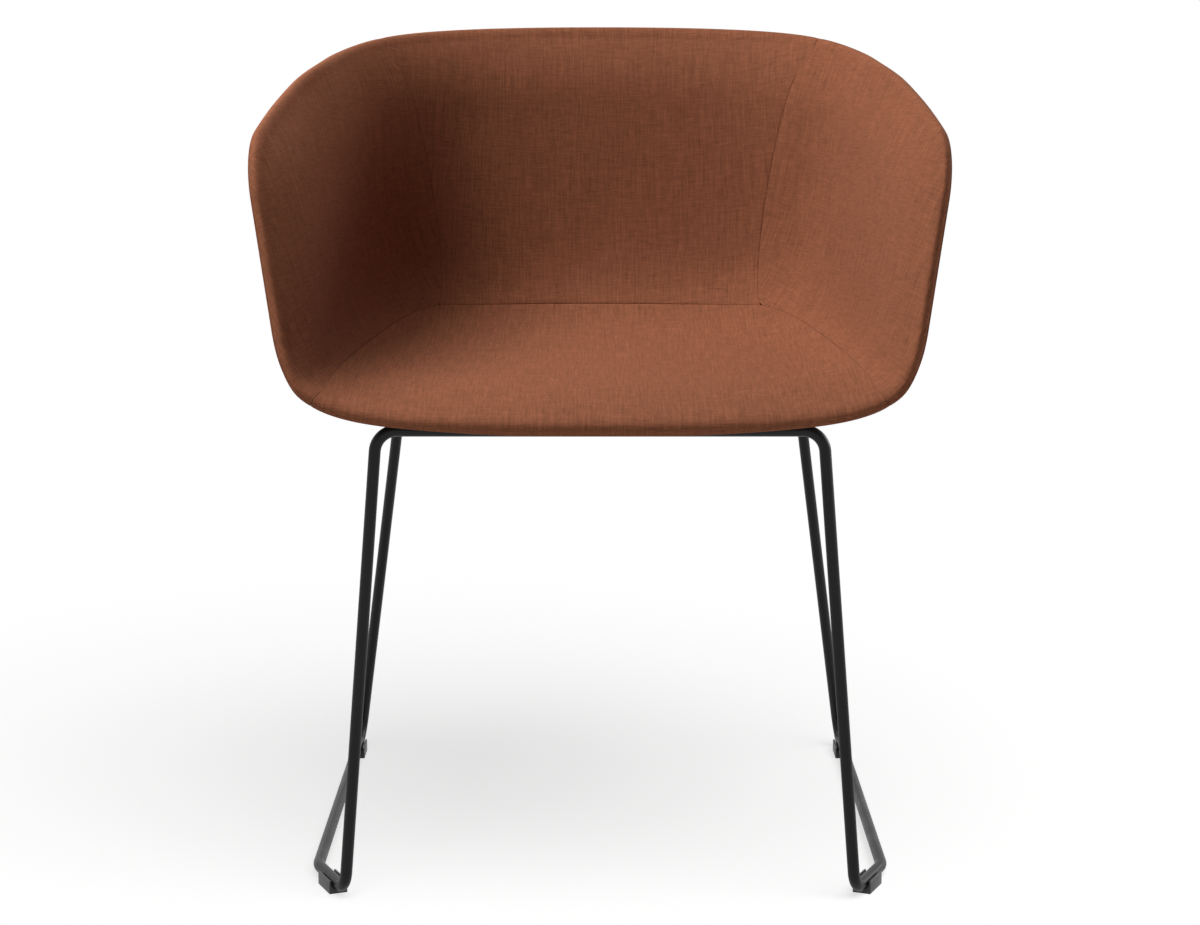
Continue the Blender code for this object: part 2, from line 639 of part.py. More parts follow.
def build_sled(collection, cutters):
    """Bent rods and their glides."""
    for side, sign in (("left", -1), ("right", 1)):
        build_rod(f"{side}_sled_rod", sign, collection)
        _, _, toe, kink, heel, top, _ = [Vector(corner) for corner in sled_corners(sign)]
        ahead = (kink - toe).normalized()
        build_glide(f"front_{side}_glide", toe + ahead * TOE_GLIDE_OFFSET, ahead, collection, cutters)
        along = (heel - kink).normalized()
        half_turn = (math.pi - (kink - heel).angle(top - heel)) / 2
        back_off = BEND_RADIUS * math.tan(half_turn) + GLIDE_LENGTH / 2
        build_glide(f"rear_{side}_glide", heel - along * back_off, along, collection, cutters)


def main():
    """Build the chair."""
    clear_scene()
    parts = new_collection(OBJECT_NAME)
    cutters = new_collection("cutters")
    bucket = Bucket()
    shell = build_shell(bucket, parts)
    for panel in PANELS:
        build_padding(bucket, panel, parts)
    build_outside(bucket, "back", "outer_back_cover", parts)
    build_outside(bucket, "left_arm", "outer_left_cover", parts)
    build_outside(bucket, "right_arm", "outer_right_cover", parts)
    under = build_outside(bucket, "seat", "under_cover", parts)
    build_fixings(shell, under, parts, cutters)
    build_sled(parts, cutters)


main()
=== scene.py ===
"""Dresses the dining armchair: sewn padding, outer covers, bent rod, glides, finishes and the studio.

Metres, +Z up, the chair faces -Y. "Left" and "right" are as seen from in front of the chair.
"""

import logging
import math
from dataclasses import dataclass, field
from enum import Enum

import bpy
import numpy as np
from mathutils import Matrix, Vector
from mathutils.kdtree import KDTree


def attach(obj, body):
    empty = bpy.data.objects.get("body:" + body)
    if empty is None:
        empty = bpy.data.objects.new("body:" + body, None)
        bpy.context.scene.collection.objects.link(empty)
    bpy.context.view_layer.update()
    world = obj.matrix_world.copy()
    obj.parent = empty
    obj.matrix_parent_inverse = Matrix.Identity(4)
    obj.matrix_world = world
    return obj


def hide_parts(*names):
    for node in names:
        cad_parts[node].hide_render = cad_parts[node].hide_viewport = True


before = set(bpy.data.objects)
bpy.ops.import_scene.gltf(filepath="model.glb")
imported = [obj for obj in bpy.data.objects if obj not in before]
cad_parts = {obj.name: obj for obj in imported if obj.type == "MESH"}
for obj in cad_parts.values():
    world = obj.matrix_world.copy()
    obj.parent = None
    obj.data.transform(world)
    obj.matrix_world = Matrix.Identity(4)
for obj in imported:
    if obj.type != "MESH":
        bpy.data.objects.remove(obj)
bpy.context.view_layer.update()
LOG = logging.getLogger("dining_armchair")
Number = np.ndarray | float


class Layer(Enum):
    """The two upholstery layers of the bucket."""

    PAD = "pad"
    OUTER = "outer"


class Grain(Enum):
    """World direction that the warp of a cloth panel runs along."""

    UP = (0.0, 0.0, 1.0)
    REARWARD = (0.0, 1.0, 0.0)


@dataclass(frozen=True)
class PanelPlan:
    """One panel of the sewing pattern: its span along the rim, its grain and its crown."""

    name: str
    start: float
    end: float
    grain: Grain
    crown: float
    outer_name: str
    darts: tuple[float, ...] = ()

    @property
    def is_arm(self) -> bool:
        """Whether the panel comes to a point at the seat corner."""
        return "arm" in self.name


def select_only(piece: bpy.types.Object | None = None) -> None:
    """Deselect everything, then select and activate one piece.

    Args:
        piece: the piece, or none.
    """
    if bpy.context.object and bpy.context.object.mode != "OBJECT":
        bpy.ops.object.mode_set(mode="OBJECT")
    bpy.ops.object.select_all(action="DESELECT")
    if piece is not None:
        piece.select_set(True)
        bpy.context.view_layer.objects.active = piece


def apply_modifiers(piece: bpy.types.Object) -> None:
    """Apply every modifier of a piece in order.

    Args:
        piece: the piece.
    """
    select_only(piece)
    for modifier in list(piece.modifiers):
        bpy.ops.object.modifier_apply(modifier=modifier.name)


def settle(piece: bpy.types.Object, name: str) -> bpy.types.Object:
    """Put a piece's place into its mesh and name it.

    Args:
        piece: the finished piece.
        name: its name in the scene.

    Returns:
        The same piece, at the origin.
    """
    select_only(piece)
    bpy.ops.object.transform_apply(location=True, rotation=True, scale=True)
    piece.name = name
    piece.data.name = name
    return piece


def grid_piece(points: np.ndarray) -> tuple[bpy.types.Object, np.ndarray]:
    """Make a sheet of quads.

    Args:
        points: places of its vertices, lines x rows x 3.

    Returns:
        The sheet, and the line and the row of each of its vertices.
    """
    lines, rows = points.shape[:2]
    select_only()
    bpy.ops.mesh.primitive_grid_add(x_subdivisions=lines - 1, y_subdivisions=rows - 1, size=2.0)
    piece = bpy.context.object
    grid = np.empty(len(piece.data.vertices) * 3)
    piece.data.vertices.foreach_get("co", grid)
    share = (grid.reshape(-1, 3)[:, :2] + 1) / 2
    place = np.rint(share * (lines - 1, rows - 1)).astype(np.int32)
    piece.data.vertices.foreach_set("co", points[place[:, 0], place[:, 1]].ravel())
    piece.data.update()
    return piece, place


def mix(start: Number, end: Number, share: Number) -> Number:
    """Linear blend between two values."""
    return start + (end - start) * share


def smooth(share: np.ndarray) -> np.ndarray:
    """Ease from 0 to 1."""
    held = np.clip(share, 0.0, 1.0)
    return held * held * (3 - 2 * held)


@dataclass
class BucketForm:
    """Inner face of the moulded shell, with the sewing pattern drawn on it.

    A pattern line runs from the seat seam out to the rim and is named by its share of the half rim,
    0 at the top of the back, 1 at the middle of the front edge, negative on the left. A section has a
    value at the front and one at the back, and its half width and its fillet have a third that is added
    halfway. Shares are of the width, of the run from the front edge to the back, or of the rise from the
    seat pan to the top.
    """

    width: float = 0.637
    depth: float = 0.575
    height: float = 0.784
    seat_height: float = 0.465
    edge_roll: float = 0.0055
    cover: float = 0.0015
    foam: float = 0.0185
    shell: float = 0.005
    gap: float = 0.0003
    back_clear: float = 0.0017
    pan_clear: float = 0.0016
    top_clear: float = 0.0008
    seat_pull: float = 0.859
    back_pull: tuple[float, float] = (0.909, -0.128)
    pivot_share: tuple[float, float] = (0.341, 0.431)
    half_share: tuple[float, float, float] = (0.4207, 0.3878, -0.0336)
    fillet_share: tuple[float, float, float] = (0.258, 0.612, 0.046)
    fullness: tuple[float, float] = (0.90, 0.68)
    flare: tuple[float, float] = (0.18, 0.165)
    arm_fall: tuple[float, float] = (0.106, 0.238)
    arm_corner: float = 0.036
    back_seam: float = 0.2156
    front_seam: float = 0.780
    seam_v: float = 0.414
    seam_t: float = 0.566
    seam_sag: float = 0.37
    back_bow: tuple[float, float] = (-0.065, 0.1325)
    seat_bow: tuple[float, float] = (0.133, 0.12)
    scan_reach: tuple[float, float] = (4.0, 1.6)
    halvings: int = 50

    def __post_init__(self) -> None:
        """Derive the spine, the sections and the rim from the driving sizes."""
        pad = self.foam + self.cover + 2 * self.gap
        self.front_y = -self.depth / 2 + self.edge_roll + self.cover
        self.back_y = self.depth / 2 - self.shell - self.cover - self.gap - self.back_clear
        self.pan_z = self.seat_height - pad - self.pan_clear
        self.top_z = self.height - self.edge_roll - self.cover - self.top_clear
        run, rise = self.back_y - self.front_y, self.top_z - self.pan_z
        self.spine = np.array([
            (self.front_y, self.pan_z),
            (self.front_y + self.seat_pull * run, self.pan_z),
            (self.front_y + self.back_pull[0] * run, self.pan_z + self.back_pull[1] * rise),
            (self.back_y, self.top_z),
        ])
        ahead, above = self.pivot_share
        self.pivot = np.array((self.front_y + ahead * run, self.top_z + above * rise))
        self.half = [share * self.width for share in self.half_share]
        self.fillet = [share * rise for share in self.fillet_share]
        self.trace_rim()

    def point(self, v: np.ndarray, t: np.ndarray) -> np.ndarray:
        """Point on the inner face of the shell.

        Args:
            v: place across the section, 0 on the spine, 1 where the wall goes on straight.
            t: place along the spine, 0 at the front edge, 1 at the top of the back.

        Returns:
            Points, with a last axis of three.
        """
        v, t = np.broadcast_arrays(np.asarray(v, float), np.asarray(t, float))
        s = t[..., None]
        spine = ((1 - s) ** 3 * self.spine[0] + 3 * (1 - s) ** 2 * s * self.spine[1]
                 + 3 * (1 - s) * s * s * self.spine[2] + s ** 3 * self.spine[3])
        inward = self.pivot - spine
        inward = inward / np.linalg.norm(inward, axis=-1, keepdims=True)
        held = np.clip(t, 0.0, 1.0)
        ease, waist = smooth(held), 4 * held * (1 - held)
        half = mix(self.half[0], self.half[1], ease) + self.half[2] * waist
        fillet = mix(self.fillet[0], self.fillet[1], ease) + self.fillet[2] * waist
        full, flare = mix(*self.fullness, ease), mix(*self.flare, ease)
        across = np.abs(v)
        q = np.minimum(across, 1.0)
        rise = fillet * (3 * (1 - full) * q * q * (1 - q) + q ** 3 + 3 * full * np.maximum(across - 1, 0))
        x = half * (3 * full * q * (1 - q) ** 2 + 3 * q * q * (1 - q) + q ** 3) + flare * rise
        return np.stack([np.sign(v) * x, spine[..., 0] + rise * inward[..., 0],
                         spine[..., 1] + rise * inward[..., 1]], axis=-1)

    def normal(self, v: np.ndarray, t: np.ndarray) -> np.ndarray:
        """Unit normal of the inner face.

        Args:
            v: place across the section.
            t: place along the spine.

        Returns:
            Directions to the sitter, with a last axis of three.
        """
        step = 1e-4
        along_v = self.point(v + step, t) - self.point(v - step, t)
        along_t = self.point(v, t + step) - self.point(v, t - step)
        normal = np.cross(along_v, along_t)
        return normal / np.linalg.norm(normal, axis=-1, keepdims=True)

    def inside_rim(self, point: np.ndarray) -> np.ndarray:
        """How far points lie behind the front edge and under the arm line, which meet in a round corner.

        Args:
            point: points on the bucket, with a last axis of three.

        Returns:
            Distances, positive inside the rim.
        """
        edge = (self.pivot - self.spine[0]) / np.linalg.norm(self.pivot - self.spine[0])
        behind = (point[..., 1] - self.spine[0][0]) * edge[1] - (point[..., 2] - self.spine[0][1]) * edge[0]
        ahead = self.back_y - point[..., 1]
        slope, droop = self.arm_fall
        under = self.top_z - slope * ahead - droop * ahead * np.abs(ahead) - point[..., 2]
        a, b = np.maximum(self.arm_corner - behind, 0), np.maximum(self.arm_corner - under, 0)
        rounded = self.arm_corner - np.sqrt(a * a + b * b)
        in_corner = (behind < self.arm_corner) & (under < self.arm_corner)
        return np.where(in_corner, rounded, np.minimum(behind, under))

    def trace_rim(self, samples: int = 3000) -> None:
        """Trace the right half of the rim from the top of the back to the middle of the front edge.

        Args:
            samples: points to trace.
        """
        angle = np.linspace(0.0, math.pi, samples)
        reach_v, reach_t = self.scan_reach[0] * np.sin(angle), self.scan_reach[1] * np.cos(angle)
        low, high = np.zeros(samples), np.ones(samples)
        for _ in range(self.halvings):
            middle = (low + high) / 2
            inside = self.inside_rim(self.point(reach_v * middle, self.seam_t + reach_t * middle)) > 0
            low, high = np.where(inside, middle, low), np.where(inside, high, middle)
        self.rim_v, self.rim_t = reach_v * low, self.seam_t + reach_t * low
        self.rim_v[0] = self.rim_v[-1] = 0.0
        steps = np.linalg.norm(np.diff(self.point(self.rim_v, self.rim_t), axis=0), axis=1)
        along = np.concatenate([[0.0], np.cumsum(steps)])
        self.half_rim = along[-1]
        self.share = along / self.half_rim

    def rim_place(self, line: np.ndarray) -> tuple[np.ndarray, np.ndarray]:
        """Pattern place of a line's end on the rim.

        Args:
            line: line names.

        Returns:
            The pattern places v and t.
        """
        size = np.abs(line)
        v, t = (np.interp(size, self.share, values) for values in (self.rim_v, self.rim_t))
        return np.sign(line) * v, t

    def line_place(self, line: np.ndarray, s: np.ndarray) -> tuple[np.ndarray, np.ndarray]:
        """Pattern place along a line.

        Args:
            line: line names.
            s: place along the line, 0 at the seat seam, 1 at the rim.

        Returns:
            The pattern places v and t.
        """
        size = np.abs(line)
        back = np.clip(size / self.back_seam, 0, 1)
        seat = np.clip((1 - size) / (1 - self.front_seam), 0, 1)
        arm = np.clip((size - self.back_seam) / (self.front_seam - self.back_seam), 0, 1)
        near = np.where(size < self.back_seam, back, np.where(size > self.front_seam, seat, 1.0))
        start_v = self.seam_v * near
        start_t = self.seam_t - self.seam_sag * start_v ** 2
        end_v, end_t = self.rim_place(size)
        mid_v = (start_v + end_v) / 2 + mix(self.back_bow[0], self.seat_bow[0], arm) * near
        mid_t = (start_t + end_t) / 2 + mix(self.back_bow[1], self.seat_bow[1], arm) * near ** 2
        v = (1 - s) ** 2 * start_v + 2 * s * (1 - s) * mid_v + s * s * end_v
        t = (1 - s) ** 2 * start_t + 2 * s * (1 - s) * mid_t + s * s * end_t
        return np.where(line < 0, -v, v), t

    @staticmethod
    def wrap(lines: np.ndarray) -> np.ndarray:
        """Keep line names between -1 and 1."""
        return (lines + 1) % 2 - 1

    def rim_frame(self, lines: np.ndarray) -> tuple[np.ndarray, np.ndarray, np.ndarray]:
        """Frame of the rim at each line.

        Args:
            lines: line names.

        Returns:
            Points of the rim, and their directions to the sitter and out over the edge.
        """
        step = 4e-4
        point = self.point(*self.rim_place(lines))
        ahead = self.point(*self.rim_place(self.wrap(lines + step)))
        behind = self.point(*self.rim_place(self.wrap(lines - step)))
        normal = self.normal(*self.rim_place(lines))
        outward = np.cross(normal, ahead - behind)
        return point, normal, outward / np.linalg.norm(outward, axis=-1, keepdims=True)

    def square_step(self, lines: np.ndarray) -> tuple[np.ndarray, np.ndarray]:
        """Pattern step for each metre that goes square into the bucket from the rim.

        Args:
            lines: line names.

        Returns:
            The steps of v and t.
        """
        step = 1e-4
        v, t = self.rim_place(lines)
        along_v = (self.point(v + step, t) - self.point(v - step, t)) / (2 * step)
        along_t = (self.point(v, t + step) - self.point(v, t - step)) / (2 * step)
        inward = -self.rim_frame(lines)[2]
        vv, vt, tt = ((one * two).sum(-1) for one, two in
                      ((along_v, along_v), (along_v, along_t), (along_t, along_t)))
        to_v, to_t = (along_v * inward).sum(-1), (along_t * inward).sum(-1)
        size = vv * tt - vt * vt
        return (tt * to_v - vt * to_t) / size, (vv * to_t - vt * to_v) / size


@dataclass
class SewnPanel:
    """A padded inner panel and the outer cover behind it, from one plan of the pattern.

    Sections at the rim are pairs: how far out over the rim, and how far off the shell to the sitter.
    The front edge of the seat has sizes of its own, because its lip is sewn on under the pad, while on
    the arms and the back the pad wraps round the edge of the shell.
    """

    form: BucketForm
    plan: PanelPlan
    spacing: float = 0.0034
    row_spacing: float = 0.0045
    grading: tuple[float, ...] = (0.0, 0.0003, 0.0007, 0.0013, 0.0022, 0.0036, 0.0056, 0.0084, 0.0122)
    line_samples: int = 241
    side_samples: int = 700
    across_samples: int = 900
    rim_samples: int = 6001
    arm_tip: float = 0.0022
    wall_margin: float = 0.0065
    turn_reach: tuple[float, float] = (0.008, 0.035)
    front_lean: tuple[float, float] = (0.35, 0.45)
    seam_half: float = 0.00012
    seam_round: float = 0.0006
    seam_soft: float = 0.0004
    soft_reach: float = 0.011
    dart_sink: float = 0.0004
    dart_half: float = 0.0016
    dart_power: float = 1.5
    dart_span: float = 0.004
    dart_lines: int = 11
    dart_clear: float = 0.0055
    dart_fade: tuple[float, float] = (0.004, 0.010)
    cloth_cells: int = 26
    cloth_quality: int = 6
    cloth_pressure: float = 4.0
    cloth_frames: int = 20
    smoothing: int = 60
    taper: float = 0.0147
    taper_reach: float = 0.072
    front_taper: float = 0.0160
    front_reach: float = 0.115
    trims: tuple[tuple[float, float, float], ...] = ((0.0035, 0.285, 0.06), (0.0016, 0.425, 0.045))
    roll_start: float = 0.004
    roll_reach: float = 0.0070
    roll_base: float = 0.0005
    front_base: float = -0.0032
    roll_end: float = -11.0
    roll_rows: int = 24
    roll_tries: tuple[float, float, int] = (50, 89, 391)
    wrap: tuple[float, float] = (0.0045, 0.0058)
    wrap_end: float = -72.0
    wrap_rows: int = 8
    bed_gap: float = 0.0005
    bed_share: tuple[float, float] = (0.6, 0.95)
    bed_run: tuple[float, float] = (-0.004, 0.0004)
    bed_drop: float = -0.0044
    front_bed_drop: float = -0.0006
    outer_round: float = 0.0008
    outer_soft: float = 0.0002
    outer_lead: tuple[float, float, int] = (-0.004, -0.0025, 3)
    outer_rows: int = 16
    outer_tuck: tuple[float, float] = (0.0010, 0.0026)
    outer_trim: float = 0.8
    outer_edge: tuple[float, float] = (0.002, -0.006)
    lip_start: float = 0.0020
    lip_top: tuple[float, float] = (0.0067, 0.0052)
    lip_power: float = 0.7
    lip_hang: tuple[float, float] = (0.0020, 0.0023)
    lip_hang_lines: tuple[float, float] = (0.84, 0.11)
    lip_hang_reach: float = 0.024
    back_run: tuple[float, float] = (-0.004, 0.001)
    back_stop: float = 0.0003
    back_turn: float = 0.9
    back_top: float = 0.0051
    smooth_angle: float = 50.0

    def __post_init__(self) -> None:
        """Lay out the lines and the rows of the panel on the bucket."""
        self.lines = self.lay_lines()
        self.lay_rows()
        self.measure_distances()

    def lay_lines(self) -> np.ndarray:
        """Set out lines across the panel, closer together by its side seams and darts.

        Returns:
            Their line names.
        """
        start = self.plan.start + self.seam_half / self.form.half_rim
        length = (self.plan.end - self.plan.start) * self.form.half_rim - 2 * self.seam_half
        near = np.array(self.grading)
        count = max(2, round((length - 2 * near[-1]) / self.spacing))
        middle = np.linspace(near[-1], length - near[-1], count)
        along = np.concatenate([near[:-1], middle, length - near[-2::-1]])
        fine = np.linspace(-self.dart_span, self.dart_span, self.dart_lines)
        for dart in self.plan.darts:
            place = (dart - start) * self.form.half_rim
            along = np.concatenate([along[np.abs(along - place) > self.dart_clear], place + fine])
        return self.form.wrap(start + np.sort(along) / self.form.half_rim)

    def lay_rows(self) -> None:
        """Place the wall's rows, from the seam to just short of the rim, and the frame of the rim there."""
        s = np.linspace(0, 1, self.line_samples)
        v, t = self.form.line_place(self.lines[:, None], s[None, :])
        to_rim = self.run_length(v, t)
        to_rim = to_rim[:, -1:] - to_rim
        square = smooth((self.turn_reach[1] - to_rim) / (self.turn_reach[1] - self.turn_reach[0]))
        ends, steps = self.form.rim_place(self.lines), self.form.square_step(self.lines)
        v, t = (mix(place, end[:, None] + step[:, None] * to_rim, square)
                for place, end, step in zip((v, t), ends, steps))
        length = self.run_length(v, t)
        near = np.array(self.grading) + (self.arm_tip if self.plan.is_arm else self.seam_half)
        count = round((length[:, -1].max() - self.wall_margin - near[-1]) / self.row_spacing)
        share = np.linspace(0, 1, count)
        wanted = [np.concatenate([near[:-1], mix(near[-1], total - self.wall_margin, share)])
                  for total in length[:, -1]]
        place = [np.array([np.interp(want, along, values)
                           for want, along, values in zip(wanted, length, held)]) for held in (v, t)]
        self.point, self.normal = self.form.point(*place), self.form.normal(*place)
        self.frame = self.form.rim_frame(self.lines)
        start, span = self.front_lean
        self.front = smooth((self.frame[1][:, 2] - start) / span)[:, None]
        self.thinning = mix(self.taper, self.front_taper, self.front)
        self.thin_reach = mix(self.taper_reach, self.front_reach, self.front)

    def run_length(self, v: np.ndarray, t: np.ndarray) -> np.ndarray:
        """Length run along each line up to each of its places."""
        steps = np.linalg.norm(np.diff(self.form.point(v, t), axis=1), axis=2)
        return np.concatenate([np.zeros((len(steps), 1)), steps.cumsum(axis=1)], axis=1)

    def seam_samples(self) -> np.ndarray:
        """Follow the seams that bound the panel.

        Returns:
            Points along them, in a list.
        """
        s = np.linspace(0, 1, self.side_samples)
        sides = [self.form.point(*self.form.line_place(np.full(s.shape, side), s))
                 for side in self.form.wrap(np.array((self.plan.start, self.plan.end)))]
        across = self.form.wrap(np.linspace(self.plan.start, self.plan.end, self.across_samples))
        return np.concatenate(sides + [self.form.point(*self.form.line_place(across, 0 * across))])

    @staticmethod
    def nearest(samples: np.ndarray, places: np.ndarray) -> np.ndarray:
        """Measure how far places are from the nearest sample.

        Args:
            samples: points to measure to, in a list.
            places: points to measure from, with a last axis of three.

        Returns:
            The distance of each place.
        """
        tree = KDTree(len(samples))
        for index, sample in enumerate(samples):
            tree.insert(sample, index)
        tree.balance()
        distances = [tree.find(place)[2] for place in places.reshape(-1, 3)]
        return np.array(distances).reshape(places.shape[:-1])

    def measure_distances(self) -> None:
        """Measure how far the wall and the rim's ends are from the seams, and the wall from the rim."""
        seams = self.seam_samples()
        rim = self.form.point(*self.form.rim_place(np.linspace(-1, 1, self.rim_samples)))
        self.seam_distance = self.nearest(seams, self.point)
        self.rim_distance = self.nearest(seams, self.frame[0])
        self.to_rim = self.nearest(rim, self.point)

    def drawn_in(self, distance: np.ndarray, round_over: float, soft: float) -> np.ndarray:
        """Draw the cloth in at a seam, with a tight round edge and a softer slope.

        Args:
            distance: distance from the seam.
            round_over: radius of the tight edge.
            soft: depth of the slope at the seam.

        Returns:
            How far the cloth is drawn in.
        """
        share = np.clip(1 - distance / round_over, 0, 1)
        edge = round_over * (1 - np.sqrt(1 - share * share))
        slope = np.clip(1 - distance / self.soft_reach, 0, 1)
        return edge + soft * slope * slope

    def dart_depth(self) -> np.ndarray:
        """Draw the pad in at the darts that cross the rim.

        Returns:
            How far each line is drawn in.
        """
        depth = np.zeros(len(self.lines))
        for dart in self.plan.darts:
            away = np.abs(self.lines - dart) * self.form.half_rim
            near = np.clip(1 - away / self.dart_half, 0, 1)
            depth = np.maximum(depth, self.dart_sink * near ** self.dart_power)
        return depth

    def rim_rows(self, out: np.ndarray, off: np.ndarray) -> np.ndarray:
        """Turn a section at the rim, one for each line, into points."""
        point, normal, outward = (part[:, None, :] for part in self.frame)
        return point + out[..., None] * outward + off[..., None] * normal

    def blow_up(self, sheet: bpy.types.Object, pinned: np.ndarray) -> np.ndarray:
        """Run the cloth simulation on a sheet and take the sheet away.

        Args:
            sheet: the flat-lying cloth, its faces to the sitter.
            pinned: whether each vertex is sewn down.

        Returns:
            Where its vertices end up.
        """
        sewn = sheet.vertex_groups.new(name="sewn")
        sewn.add(np.flatnonzero(pinned).tolist(), 1.0, "REPLACE")
        cloth = sheet.modifiers.new("cloth", "CLOTH")
        cloth.settings.quality = self.cloth_quality
        cloth.settings.vertex_group_mass = sewn.name
        cloth.settings.use_pressure = True
        cloth.settings.uniform_pressure_force = self.cloth_pressure
        cloth.settings.effector_weights.gravity = 0.0
        cloth.point_cache.frame_start, cloth.point_cache.frame_end = 1, self.cloth_frames
        for step in range(1, self.cloth_frames + 1):
            bpy.context.scene.frame_set(step)
        apply_modifiers(sheet)
        moved = np.empty(len(sheet.data.vertices) * 3)
        sheet.data.vertices.foreach_get("co", moved)
        bpy.data.objects.remove(sheet)
        bpy.context.scene.frame_set(1)
        return moved.reshape(-1, 3)

    def puff(self, wall: np.ndarray) -> np.ndarray:
        """Blow the sewn cloth up and smooth its rise.

        Args:
            wall: points of the flat-lying cloth, lines x rows x 3.

        Returns:
            How far each point rises off its bed, no more than the plan's crown.
        """
        size = wall.shape[:2]
        line, row = (np.unique(np.rint(np.linspace(0, count - 1, self.cloth_cells)).astype(int))
                     for count in size)
        flat, normal = wall[np.ix_(line, row)], self.normal[np.ix_(line, row)]
        sheet, place = grid_piece(flat)
        to_sitter = Vector(normal.sum(axis=(0, 1)))
        if sum(to_sitter.dot(face.normal) for face in sheet.data.polygons) < 0:
            sheet.data.flip_normals()
        ends = np.array((len(line) - 1, len(row) - 1))
        moved = self.blow_up(sheet, ((place == 0) | (place == ends)).any(axis=1))
        rise = np.zeros(flat.shape[:2])
        at = tuple(place.T)
        rise[at] = ((moved - flat[at]) * normal[at]).sum(axis=1)
        LOG.info("%s: cloth rose %.1f mm", self.plan.name, 1000 * rise.max())
        wide = np.array([np.interp(np.arange(size[1]), row, values) for values in rise])
        full = np.array([np.interp(np.arange(size[0]), line, values) for values in wide.T]).T
        full = np.maximum(full, 0)
        for _ in range(self.smoothing):
            full[1:-1, 1:-1] += 0.25 * (full[2:, 1:-1] + full[:-2, 1:-1] + full[1:-1, 2:] + full[1:-1, :-2]
                                        - 4 * full[1:-1, 1:-1])
        return full * min(1.0, self.plan.crown / max(full.max(), 1e-6))

    def tapered(self, to_rim: np.ndarray | float) -> np.ndarray:
        """Thickness lost toward the rim, where the pad thins to its edge."""
        return self.thinning * np.clip(1 - to_rim / self.thin_reach, 0, 1) ** 2

    def trimmed(self) -> np.ndarray:
        """How far the edge is pulled in along the arm's top, most where the arm leaves the back."""
        size = np.abs(self.lines)[:, None]
        return sum(depth * np.exp(-((size - line) / spread) ** 2) for depth, line, spread in self.trims)

    def pad_edge(self, thick: float) -> tuple[np.ndarray, np.ndarray]:
        """Section of the pad's edge at each line.

        The taper runs into an ellipse. On the seat this stops at the seam over the lip, and on the arms
        and the back it goes on round the edge of the shell.

        Args:
            thick: thickness of the pad away from its edges.

        Returns:
            How far out over the rim and how far off the shell, each lines x rows.
        """
        reach = self.roll_reach + self.roll_start
        base = mix(self.roll_base, self.front_base, self.front)
        rise = thick - self.tapered(self.roll_start) - base
        slope = 2 * self.thinning * (1 - self.roll_start / self.thin_reach) / self.thin_reach
        tries = np.radians(np.linspace(*self.roll_tries))
        miss = rise * (1 - np.cos(tries)) / (np.sin(tries) * np.tan(tries)) - slope * reach
        first = tries[np.abs(miss).argmin(axis=1)][:, None]
        wide, high = reach / (1 - np.cos(first)), rise / np.sin(first)
        to_seam = mix(first, math.radians(self.roll_end), np.linspace(0, 1, self.roll_rows))
        over = first * np.linspace(1, 0, self.roll_rows - self.wrap_rows)
        under = np.linspace(0, math.radians(self.wrap_end), self.wrap_rows + 1)[1:]
        under = np.tile(under, (len(first), 1))
        wrap_out, wrap_off = self.wrap
        out = np.concatenate([wide * np.cos(over) - wide, wrap_out * np.cos(under) - wrap_out], axis=1)
        off = np.concatenate([high * np.sin(over), wrap_off * np.sin(under)], axis=1)
        out = mix(out, wide * np.cos(to_seam) - wide, self.front) + self.roll_reach
        off = mix(off, high * np.sin(to_seam), self.front) + base
        return out - self.trimmed() * np.clip((out + self.roll_start) / reach, 0, 1), off

    def pad_bed(self) -> tuple[np.ndarray, np.ndarray]:
        """Section of the pad's bed at each line: along the shell, then down over its edge.

        Returns:
            How far out over the rim and how far off the shell, each lines x rows.
        """
        share = np.linspace(0, 1, self.roll_rows)
        run = mix(*self.bed_share, self.front)
        out = np.where(share < run, mix(*self.bed_run, share / run), self.bed_gap)
        down = mix(self.bed_gap, self.bed_drop, (share - run) / (1 - run))
        return out, np.where(share < run, self.bed_gap, mix(down, self.front_bed_drop, self.front))

    def pad_faces(self) -> tuple[np.ndarray, np.ndarray]:
        """Showing face and bed of the pad.

        Returns:
            Points of each, lines x rows x 3.
        """
        thick = self.form.foam + self.form.cover + self.form.gap
        inset = self.drawn_in(self.seam_distance, self.seam_round, self.seam_soft)
        dart = self.dart_depth()
        start, span = self.dart_fade
        fade = smooth(1 - (self.to_rim - start) / span)
        rise = self.puff(self.point + thick * self.normal)
        height = thick - (inset + self.tapered(self.to_rim)) + rise - dart[:, None] * fade
        wall = self.point + height[..., None] * self.normal
        rim_inset = (self.drawn_in(self.rim_distance, self.seam_round, self.seam_soft) + dart)[:, None]
        out, off = self.pad_edge(thick)
        run, climb = np.gradient(out, axis=1), np.gradient(off, axis=1)
        length = np.sqrt(run * run + climb * climb)
        edge = self.rim_rows(out + rim_inset * climb / length, off - rim_inset * run / length)
        face = np.concatenate([wall, edge], axis=1)
        floor = self.point + self.bed_gap * self.normal
        bed = np.concatenate([floor, self.rim_rows(*self.pad_bed())], axis=1)
        return face, bed

